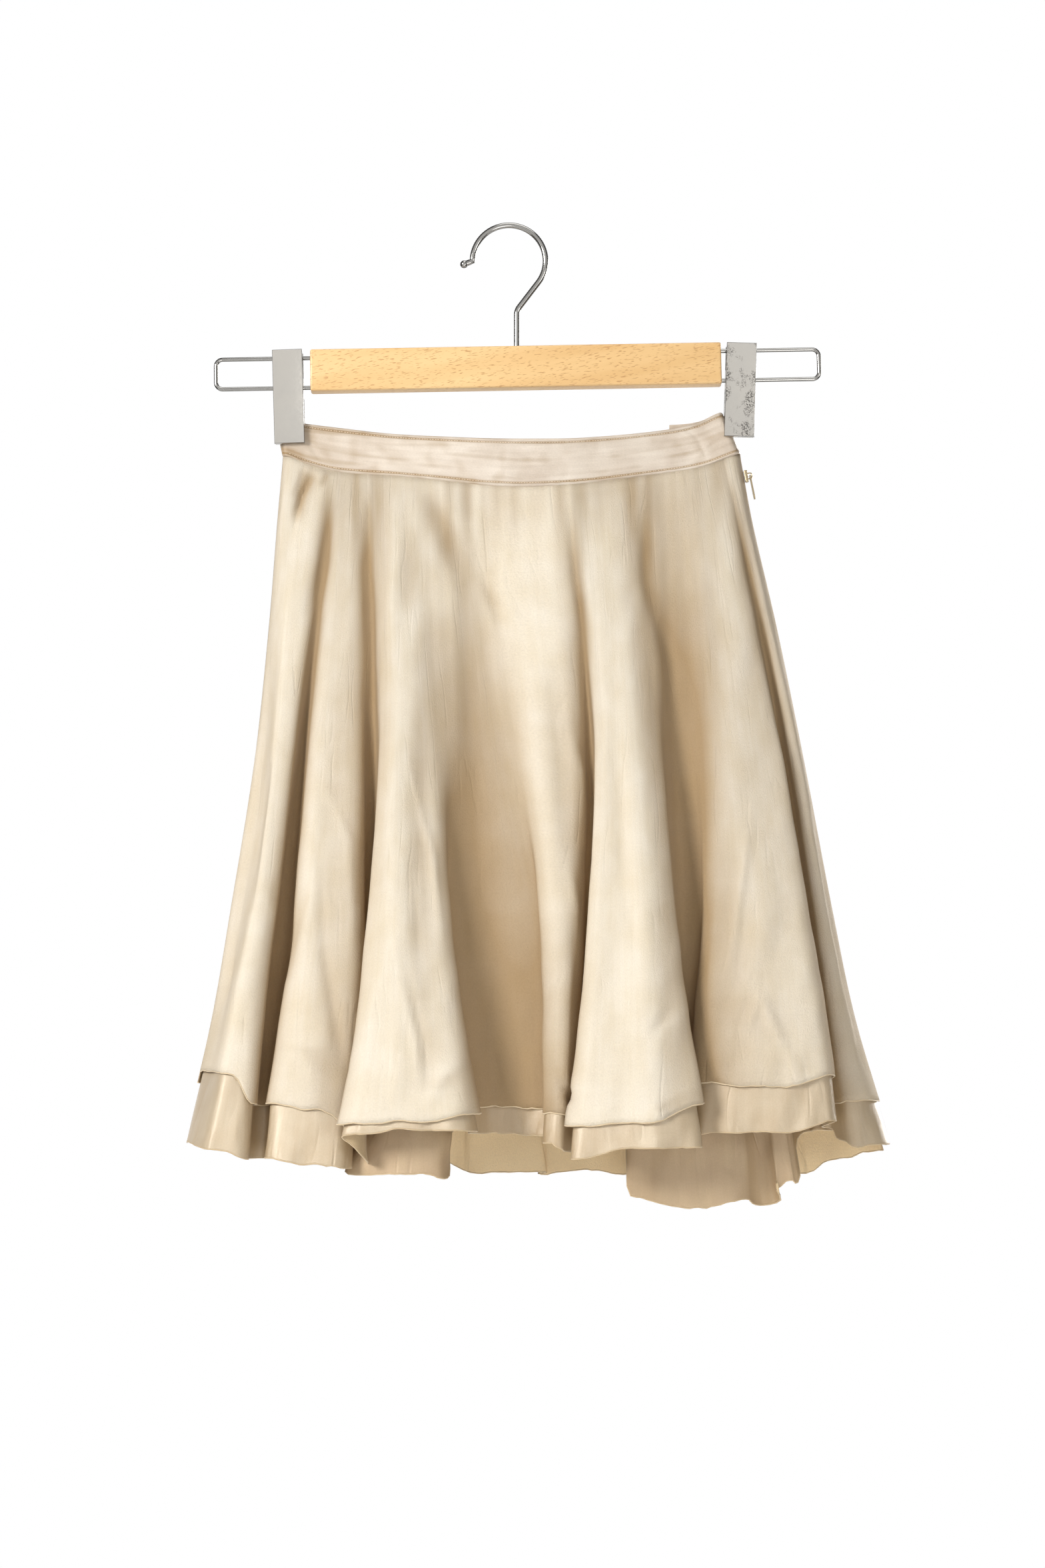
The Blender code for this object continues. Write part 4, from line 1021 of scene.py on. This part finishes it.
class SKIRT_OT_chiffon(bpy.types.Operator):
    """Outer chiffon layer, front and back, with its rolled hem"""

    bl_idname = "skirt.chiffon"
    bl_label = "Chiffon layer"

    def execute(self, context):
        s = context.scene.skirt_cloth
        face = cloth_material("crepe chiffon", s.chiffon, s.chiffon_deep, s.fold_shadow,
                              CREPE_FACE)
        inner = cloth_material("crepe chiffon, inside", s.chiffon_deep, s.wrong_side,
                               s.fold_shadow, CREPE_INSIDE)
        hem = thread_material("rolled hem thread", s.thread, s.chiffon_deep)
        shapes = ((FRONT_FOLDS, HEM_CHIFFON_FRONT, FRONT_CREASES),
                  (BACK_FOLDS, HEM_CHIFFON_BACK, BACK_CREASES))
        make_layer("chiffon", CHIFFON_LAYER, s.rows, shapes, (face, inner), hem)
        return {"FINISHED"}


class SKIRT_OT_satin(bpy.types.Operator):
    """Longer satin layer under the chiffon, front and back"""

    bl_idname = "skirt.satin"
    bl_label = "Satin layer"

    def execute(self, context):
        s = context.scene.skirt_cloth
        face = cloth_material("soft satin", s.satin, s.satin_deep, s.fold_shadow, SATIN_FACE)
        inner = cloth_material("satin wrong side", s.wrong_side, s.satin_deep, s.fold_shadow,
                               SATIN_INSIDE)
        hem = thread_material("satin hem thread", s.thread, s.satin_deep)
        shapes = ((FRONT_FOLDS, HEM_SATIN_FRONT, FRONT_CREASES),
                  (BACK_FOLDS, HEM_SATIN_BACK, BACK_CREASES))
        make_layer("satin", SATIN_LAYER, UNDER_ROWS, shapes, (face, inner), hem)
        return {"FINISHED"}


class SKIRT_OT_lining(bpy.types.Operator):
    """Lining, which hangs lowest, front and back"""

    bl_idname = "skirt.lining"
    bl_label = "Lining"

    def execute(self, context):
        s = context.scene.skirt_cloth
        face = cloth_material("lining face", s.lining, s.lining_deep, s.fold_shadow,
                              LINING_FACE)
        inner = cloth_material("lining wrong side", s.wrong_side, s.wrong_side, s.fold_shadow,
                               LINING_INSIDE)
        hem = thread_material("lining hem thread", s.thread, s.lining)
        shapes = ((LINING_FRONT_FOLDS, HEM_LINING_FRONT, ()),
                  (LINING_BACK_FOLDS, HEM_LINING_BACK, ()))
        make_layer("lining", LINING_LAYER, UNDER_ROWS, shapes, (face, inner), hem)
        return {"FINISHED"}


LAST_STATION = len(BAND_STATIONS) - 1
BAND_OUTER_ROWS, BAND_INNER_ROWS, BAND_FOLD_ROWS = 44, 8, 5
BAND_COLUMNS, BAND_END_COLUMNS = 190, 6
BAND_FOLD = 0.95          # radius of the band's folded edges
BAND_THICK = 2 * BAND_FOLD
BAND_WIDTH = 31.0
PIPING_AT = 0.035         # of the band's width, in from each edge
STITCH_AT = 0.085
STITCH_STEP = 1.8
STITCH_SIZE = (0.66, 0.22, 0.22)


def band_spot(spot, share):
    """(x, depth, drop) on the band's face; spot runs over the stations, ends rounded."""
    last = LAST_STATION
    xs = [mix(s.x_top, s.x_low, share) for s in BAND_STATIONS]
    drops = [mix(s.drop_top, s.drop_low, share) for s in BAND_STATIONS]
    if spot < 1 or spot > last - 1:
        end, inside = (0, 1) if spot < 1 else (last, last - 1)
        turn = abs(spot - inside) * math.pi / 2
        depth = max(SEAM, PINCH_DEPTH * math.cos(turn))
        return (mix(xs[inside], xs[end], math.sin(turn)), depth,
                mix(drops[inside], drops[end], math.sin(turn)))
    x = smooth_value(range(last + 1), xs, spot)
    return x, band_depth(x), smooth_value(xs, drops, x)


def band_profile():
    """The band's cross-section as (share of width, inset) round a closed loop."""
    edge = BAND_FOLD / BAND_WIDTH
    outer = [(mix(1 - edge, edge, i / BAND_OUTER_ROWS), 0.0) for i in range(BAND_OUTER_ROWS + 1)]
    turns = [math.pi * i / BAND_FOLD_ROWS for i in range(1, BAND_FOLD_ROWS)]
    top = [(edge * (1 - math.sin(a)), BAND_FOLD * (1 - math.cos(a))) for a in turns]
    inner = [(mix(edge, 1 - edge, i / BAND_INNER_ROWS), BAND_THICK)
             for i in range(BAND_INNER_ROWS + 1)]
    bottom = [(1 - s, BAND_THICK - w) for s, w in top]
    return outer + top + inner + bottom


def band_relief(share, x, drop, side):
    """How far the band's face stands out: piped edges, sunk seams, soft creases."""
    out = 0.0
    for at in (share, 1 - share):
        out += 0.45 * math.exp(-((at - PIPING_AT) / 0.028) ** 2)
        out -= 0.45 * math.exp(-((at - STITCH_AT) / 0.018) ** 2)
    pull = noise.noise(Vector((x / 2.6, share * 2, 4.0 + side)))
    near = math.exp(-(min(share, 1 - share) / 0.22) ** 2)
    out += 0.22 * pull * near
    out += 0.40 * noise.noise(Vector((x / 17, share * 2.5, 9.0 + side)))
    out += 0.45 * noise.noise(Vector((x / 48, share * 5.0, 17.0 + side)))
    return out


def band_shade(share, x, side):
    """How much painted shade the band gets: along its stitched lines and, on the front, towards
    its gripped ends, darker to the left and in long streaks that paint the satin's sheen.
    """
    shade = sum(0.42 * math.exp(-((at - STITCH_AT) / 0.022) ** 2) for at in (share, 1 - share))
    if side < 0:
        shade += 0.12 * smoothstep(20, -70, x) + 0.14 * smoothstep(-105, -142, x)
        shade += 0.12 * smoothstep(104, 138, x)
        # Painted sheen: long darker streaks along the satin.
        shade += 0.22 * max(0, noise.noise(Vector((x / 9, share * 3, 21.0))))
        shade += 0.34 * max(0, noise.noise(Vector((x / 46, share * 8, 33.0))))
    return shade


class SKIRT_OT_waistband(bpy.types.Operator):
    """Satin waistband with folded edges, topstitching and its underlap"""

    bl_idname = "skirt.waistband"
    bl_label = "Waistband"

    def execute(self, context):
        s = context.scene.skirt_cloth
        satin = cloth_material("band satin", s.band, s.band_deep, s.fold_shadow, BAND_FACE)
        thread = thread_material("topstitch thread", (0.86, 0.74, 0.56, 1), s.thread, 30.0)
        for side, word in FRONT_AND_BACK.items():
            band = self.band(word, side, satin)
            settle(band, f"waistband_{word}")
            settle(self.stitches(word, side, thread))
        assign(["waistband_underlap"], underlap_material(s.band, s.band_deep))
        return {"FINISHED"}

    def band(self, word, side, satin):
        last, ends = LAST_STATION, BAND_END_COLUMNS
        spots = ([i / ends for i in range(ends)]
                 + [mix(1, last - 1, i / BAND_COLUMNS) for i in range(BAND_COLUMNS + 1)]
                 + [last - 1 + (i + 1) / ends for i in range(ends)])
        fade = [min(1, min(k, len(spots) - 1 - k) / ends) for k in range(len(spots))]
        profile = band_profile()
        rows = []
        for share, inset in profile:
            x, depth, drop = np.array([band_spot(spot, share) for spot in spots]).T[:, None]
            height = np.full(x.shape, -inset)
            if inset == 0:
                relief = [band_relief(share, a, d, side) for a, d in zip(x[0], drop[0])]
                creases = BAND_CREASES if side < 0 else ()
                height = (relief + crease_height(creases, x, drop)) * fade
            height[0, 0] = min(height[0, 0], 0)
            x, depth = lift(x, depth, height)
            rows.append((x[0], np.maximum(depth[0], SEAM), drop[0]))
        count = len(rows)
        bm = bmesh.new()
        tone = bm.verts.layers.float.new("Valley")
        placed_at = place_grid(
            bm, len(spots), count + 1,
            lambda c, r: world(side, *(rows[r % count][k][c] for k in range(3))),
            lambda c, r: (-profile[r % count][0] * BAND_WIDTH / 10, rows[0][0][c] / 10))
        # Painted shade of the band, kept in a vertex layer for its material.
        for vert, (c, r) in placed_at.items():
            vert[tone] = band_shade(profile[r % count][0], rows[0][0][c], side)
        close_tube(bm, 1e-6)
        band = finish_mesh(f"waistband_{word}_cloth", bm, satin)
        band.data.set_sharp_from_angle(angle=math.radians(60))
        return band

    def stitches(self, word, side, thread):
        bm = bmesh.new()
        out = Vector((0, side, 0))
        size = Matrix.Diagonal((*(MM * length for length in STITCH_SIZE), 1))
        for share in (STITCH_AT, 1 - STITCH_AT):
            line = [Vector(band_spot(mix(1, LAST_STATION - 1, i / 600), share))
                    for i in range(601)]
            run, due = 0.0, STITCH_STEP / 2
            for a, b in zip(line, line[1:]):
                run += (b - a).length
                if run < due:
                    continue
                due += STITCH_STEP
                along = (world(side, *b) - world(side, *a)).normalized()
                turned = Matrix((along, out.cross(along), out)).transposed().to_4x4()
                place = Matrix.Translation(world(side, b.x, b.y - 0.12, b.z))
                bmesh.ops.create_uvsphere(bm, u_segments=6, v_segments=4, radius=1,
                                          matrix=place @ turned @ size)
        bm.loops.layers.uv.new("Cloth")
        return finish_mesh(f"waistband_{word}_stitches", bm, thread)


class SKIRT_OT_zip(bpy.types.Operator):
    """Zip slider and pull tab at the side seam"""

    bl_idname = "skirt.zip"
    bl_label = "Zip"

    def execute(self, context):
        s = context.scene.skirt_hanger
        tab = metal_material("lacquered zip tab", s.tab, 0.35, (0.24, 0.19, 0.12, 1))
        assign(["zip_slider", "zip_pull"], tab)
        return {"FINISHED"}


SEATED = 2.0              # of the wires and the hook's foot, in the bar
RIM_IN, RIM_DEEP, RIM_BEVEL = 0.9, 0.25, 0.28             # of a clip plate's pressed face
EAR_FLARE = 2.0           # over which an ear widens, above and below
COIL_WIRE, COIL_TURNS, COIL_STEPS = 0.5, 8, 14
TARNISH = (0.50, 0.48, 0.45, 1)


def arc(centre, radius, start, end, steps):
    return [(centre[0] + radius * math.cos(mix(start, end, i / steps)),
             centre[1] + radius * math.sin(mix(start, end, i / steps)))
            for i in range(steps + 1)]


def in_plane(points):
    return [Vector((x * MM, 0, z * MM)) for x, z in points]


def from_bar(x, z):
    c, s = math.cos(BAR_TILT), math.sin(BAR_TILT)
    return BAR_CENTRE[0] + x * c - z * s, BAR_CENTRE[1] + x * s + z * c


def lower_wire_at(x):
    on_wire = from_bar(0, WIRE_LOWER)
    return on_wire[1] + (x - on_wire[0]) * math.tan(BAR_TILT)


class SKIRT_OT_bar(bpy.types.Operator):
    """Wooden bar with its wire hook and end loops"""

    bl_idname = "skirt.bar"
    bl_label = "Bar, hook and loops"

    def execute(self, context):
        s = context.scene.skirt_hanger
        wood = wood_material(s.wood, s.wood_deep, s.fleck)
        chrome = metal_material("bright chrome wire", s.wire, 0.10, (0.20, 0.19, 0.18, 1),
                                rim=0.12)
        settle(self.bar(wood), "hanger_bar")
        settle(self.hook(chrome), "hanger_hook")
        for side, sign in (("left", -1), ("right", 1)):
            settle(self.loop(side, sign, chrome), f"wire_loop_{side}")
        return {"FINISHED"}

    def bar(self, wood):
        bm = bmesh.new()
        turn = Matrix.Rotation(-BAR_TILT, 4, "Y")
        size = Matrix.Diagonal((BAR_LENGTH * MM, BAR_DEPTH * MM, BAR_HEIGHT * MM, 1))
        place = Matrix.Translation((BAR_CENTRE[0] * MM, 0, BAR_CENTRE[1] * MM))
        bmesh.ops.create_cube(bm, size=1, matrix=place @ turn @ size)
        bmesh.ops.bevel(bm, geom=bm.edges[:], offset=BAR_EASE * MM, segments=4, profile=0.5,
                        affect="EDGES", material=-1)
        bar = finish_mesh("beech_bar", bm, wood)
        bar.data.set_sharp_from_angle(angle=math.radians(40))
        return bar

    def hook(self, chrome):
        bow = arc((0, -(HOOK_RADIUS - HOOK_WIRE)), HOOK_RADIUS, math.pi, -HOOK_SWEEP, 60)
        leave = Vector(bow[-1])
        slope = Vector((-math.sin(HOOK_SWEEP), -math.cos(HOOK_SWEEP)))
        corner = leave + slope * ((leave.x - STEM_X) / math.sin(HOOK_SWEEP))
        back_off = STEM_BEND * math.tan(HOOK_SWEEP / 2)
        bend = arc((STEM_X + STEM_BEND, corner.y - back_off), STEM_BEND,
                   math.pi - HOOK_SWEEP, math.pi, 12)
        foot = from_bar(STEM_X - BAR_CENTRE[0], BAR_HEIGHT / 2)[1] - SEATED
        path = in_plane([*reversed(HOOK_TIP), *bow, *bend, (STEM_X, foot)])
        hook = tube("wire_hook", path, HOOK_WIRE * MM, chrome, 20)
        bm = bmesh.new()
        bm.from_mesh(hook.data)
        bmesh.ops.create_uvsphere(bm, u_segments=20, v_segments=12, radius=TIP_BALL * MM,
                                  matrix=Matrix.Translation(path[0]))
        bm.to_mesh(hook.data)
        bm.free()
        hook.data.shade_smooth()
        return hook

    def loop(self, side, sign, chrome):
        reach, inside = LOOP_REACH[side] - WIRE_RADIUS, BAR_LENGTH / 2 - SEATED
        corner = LOOP_CORNER
        upper = arc((reach - corner, WIRE_UPPER - corner), corner, math.pi / 2, 0, 10)
        lower = arc((reach - corner, WIRE_LOWER + corner), corner, 0, -math.pi / 2, 10)
        path = [(inside, WIRE_UPPER), *upper, *lower, (inside, WIRE_LOWER)]
        return tube(f"end_loop_{side}", in_plane(from_bar(sign * x, z) for x, z in path),
                    WIRE_RADIUS * MM, chrome, 16)


class SKIRT_OT_clips(bpy.types.Operator):
    """Pressed spring clips that grip the waistband"""

    bl_idname = "skirt.clips"
    bl_label = "Clips"

    def execute(self, context):
        s = context.scene.skirt_hanger
        chrome = metal_material("clip chrome", s.chrome, 0.16, TARNISH)
        worn = metal_material("clip chrome, tarnished", s.chrome, 0.16, TARNISH, 0.8)
        # Darker metal on the bevelled edges: a painted dark reflection along the plates' edges.
        edge = metal_material("clip edges, painted dark reflection", (0.16, 0.155, 0.15, 1), 0.25,
                              (0.10, 0.10, 0.10, 1))
        for side in ("left", "right"):
            plating = worn if side == "right" else chrome
            for sign, face in FRONT_AND_BACK.items():
                settle(self.plate(side, face, sign, plating, edge),
                       f"clip_{side}_{face}")
            settle(self.spring(side, chrome), f"clip_spring_{side}")
        return {"FINISHED"}

    def plate(self, side, face, sign, chrome, edge):
        x, z = CLIP_CENTRE[side]
        pivot = lower_wire_at(x) - z
        grip = PINCH_DEPTH + LAYER_GAP
        bm = bmesh.new()
        size = Matrix.Diagonal((CLIP_WIDTH, CLIP_FACE - SEAM, CLIP_HEIGHT, 1))
        middle = Matrix.Translation((0, (CLIP_FACE + SEAM) / 2, 0))
        bmesh.ops.create_cube(bm, size=1, matrix=middle @ size)
        for level in (pivot - EAR_HALF - EAR_FLARE, pivot - EAR_HALF, pivot + EAR_HALF,
                      pivot + EAR_HALF + EAR_FLARE):
            bmesh.ops.bisect_plane(bm, geom=bm.verts[:] + bm.edges[:] + bm.faces[:],
                                   plane_co=(0, 0, level), plane_no=(0, 0, 1))
        inner = [f for f in bm.faces if f.normal.y < -0.9]
        bmesh.ops.inset_region(bm, faces=inner, thickness=CLIP_SHEET, use_even_offset=True)
        pushed = bmesh.ops.extrude_face_region(bm, geom=inner)
        moved = [g for g in pushed["geom"] if isinstance(g, bmesh.types.BMVert)]
        bmesh.ops.delete(bm, geom=inner, context="FACES_ONLY")
        bmesh.ops.translate(bm, verts=moved, vec=(0, CLIP_FACE - SEAM - CLIP_SHEET, 0))
        for vert in bm.verts:
            if vert.co.y < 1 and abs(vert.co.z - pivot) > EAR_HALF + EAR_FLARE / 2:
                vert.co.y = grip
            if face == "back" and vert.co.z < -CLIP_HEIGHT / 2 + CLIP_SHEET + 0.1:
                vert.co.z += BACK_JAW_SHORTER
        outer = [f for f in bm.faces
                 if f.normal.y > 0.9 and f.calc_center_median().y > CLIP_FACE - 0.1]
        bmesh.ops.inset_region(bm, faces=outer, thickness=RIM_IN, use_even_offset=True,
                               depth=-RIM_DEEP)
        sharp = [e for e in bm.edges if e.is_manifold and e.calc_face_angle(0) > 0.5]
        bmesh.ops.bevel(bm, geom=sharp, offset=RIM_BEVEL, segments=2, profile=0.5,
                        affect="EDGES", material=1)
        turn = Matrix.Rotation(CLIP_LEAN[side], 4, "Y")
        place = Matrix.Translation((x * MM, 0, z * MM))
        flip = Matrix.Diagonal((MM, sign * MM, MM, 1))
        bmesh.ops.transform(bm, matrix=place @ turn @ flip, verts=bm.verts)
        if sign < 0:
            bmesh.ops.reverse_faces(bm, faces=bm.faces)
        plate = finish_mesh(f"clip_plate_{side}_{face}", bm, chrome, edge)
        plate.data.set_sharp_from_angle(angle=math.radians(35))
        return plate

    def spring(self, side, chrome):
        x, z = CLIP_CENTRE[side]
        pivot = lower_wire_at(x)
        radius = SPRING_RADIUS - COIL_WIRE - 0.05
        reach = SPRING_LENGTH / 2 - COIL_WIRE - 0.1
        path = []
        for i in range(COIL_TURNS * COIL_STEPS + 1):
            angle = 2 * math.pi * i / COIL_STEPS
            along = mix(-reach, reach, i / (COIL_TURNS * COIL_STEPS))
            rise = along * math.tan(BAR_TILT) + radius * math.sin(angle)
            path.append(Vector((x + along, radius * math.cos(angle), pivot + rise)) * MM)
        return tube(f"coil_spring_{side}", path, COIL_WIRE * MM, chrome, 8)


FLOOR_Z = -1.35


class SKIRT_OT_stage(bpy.types.Operator):
    """Pale floor, soft studio light and the camera"""

    bl_idname = "skirt.stage"
    bl_label = "Stage"

    def execute(self, context):
        s = context.scene.skirt_stage
        self.floor()
        self.surroundings(context, s)
        aim = Vector(s.aim)
        for name, spot, size, power in (
                ("key", (-1.8, -1.6, 0.7), 0.9, s.key),
                ("fill", (1.9, -1.8, 0.1), 0.9, s.fill),
                ("low", (0.3, -1.5, -0.85), 1.0, s.low),
                ("back_key", (1.6, 1.8, 0.6), 1.0, s.key * 0.95),
                ("top", (0.2, -0.3, 1.7), 1.2, s.fill)):
            light = bpy.data.lights.new(name, "AREA")
            light.shape = "DISK"
            light.size = size
            light.energy = power
            self.aimed(context, name, light, aim, Vector(spot))
        camera = bpy.data.cameras.new("camera")
        camera.sensor_fit = "VERTICAL"
        camera.sensor_height = 36
        camera.lens = s.lens
        away = Vector((0, -math.cos(s.elevation), math.sin(s.elevation))) * s.distance
        context.scene.camera = self.aimed(context, "camera", camera, aim, away)
        context.scene.view_settings.view_transform = "Standard"
        return {"FINISHED"}

    def floor(self):
        bm = bmesh.new()
        bmesh.ops.create_grid(bm, x_segments=8, y_segments=8, size=1.6,
                              matrix=Matrix.Translation((0, 0, FLOOR_Z)))
        pale, _, shader = new_material("pale floor")
        set_values(shader, Base_Color=(0.86, 0.86, 0.86, 1), Roughness=0.8)
        finish_mesh("studio_floor", bm, pale)

    def surroundings(self, context, s):
        """White all round; reflections see dimmer walls in front and behind."""
        context.scene.world = bpy.data.worlds.new("studio")
        context.scene.world.use_nodes = True
        tree = context.scene.world.node_tree
        path = tree.nodes.new("ShaderNodeLightPath").outputs
        strength = spread(tree, path["Is Diffuse Ray"], 0, 1, 1.0, s.sky)
        toward = node(tree, "SeparateXYZ", Vector=object_vector(tree))
        ahead = math_node(tree, "ABSOLUTE", toward.outputs[1])
        dim = times(tree, path["Is Glossy Ray"], spread(tree, ahead, 0.25, 0.93, 0.92, 0.0))
        strength = times(tree, strength, math_node(tree, "SUBTRACT", 1.0, dim))
        set_values(tree.nodes["Background"], Color=(1, 1, 1, 1), Strength=strength)

    def aimed(self, context, name, data, aim, away):
        made = bpy.data.objects.new(name, data)
        made.location = aim + away
        made.rotation_euler = (-away).to_track_quat("-Z", "Y").to_euler()
        context.scene.collection.objects.link(made)
        return made


class SKIRT_PT_panel(bpy.types.Panel):
    """Lists the skirt's operators and settings"""

    bl_label = "Mini Skirt"
    bl_idname = "SKIRT_PT_panel"
    bl_space_type = "VIEW_3D"
    bl_region_type = "UI"
    bl_category = "Skirt"

    def draw(self, context):
        for step in STEPS:
            self.layout.operator(step.bl_idname)
        for settings in (context.scene.skirt_cloth, context.scene.skirt_hanger,
                         context.scene.skirt_stage):
            box = self.layout.box()
            for name in settings.__annotations__:
                box.prop(settings, name)


STEPS = (SKIRT_OT_stage, SKIRT_OT_waistband, SKIRT_OT_chiffon, SKIRT_OT_satin, SKIRT_OT_lining,
         SKIRT_OT_zip, SKIRT_OT_bar, SKIRT_OT_clips)
CLASSES = (SkirtClothSettings, SkirtHangerSettings, SkirtStageSettings, *STEPS, SKIRT_PT_panel)


def register():
    for cls in CLASSES:
        bpy.utils.register_class(cls)
    bpy.types.Scene.skirt_cloth = bpy.props.PointerProperty(type=SkirtClothSettings)
    bpy.types.Scene.skirt_hanger = bpy.props.PointerProperty(type=SkirtHangerSettings)
    bpy.types.Scene.skirt_stage = bpy.props.PointerProperty(type=SkirtStageSettings)


def unregister():
    del bpy.types.Scene.skirt_stage
    del bpy.types.Scene.skirt_hanger
    del bpy.types.Scene.skirt_cloth
    for cls in reversed(CLASSES):
        bpy.utils.unregister_class(cls)


def main():
    register()
    bpy.ops.skirt.stage()
    bpy.ops.skirt.waistband()
    bpy.ops.skirt.chiffon()
    bpy.ops.skirt.satin()
    bpy.ops.skirt.lining()
    bpy.ops.skirt.zip()
    bpy.ops.skirt.bar()
    bpy.ops.skirt.clips()
    bpy.context.view_layer.update()


if __name__ == "__main__":
    main()
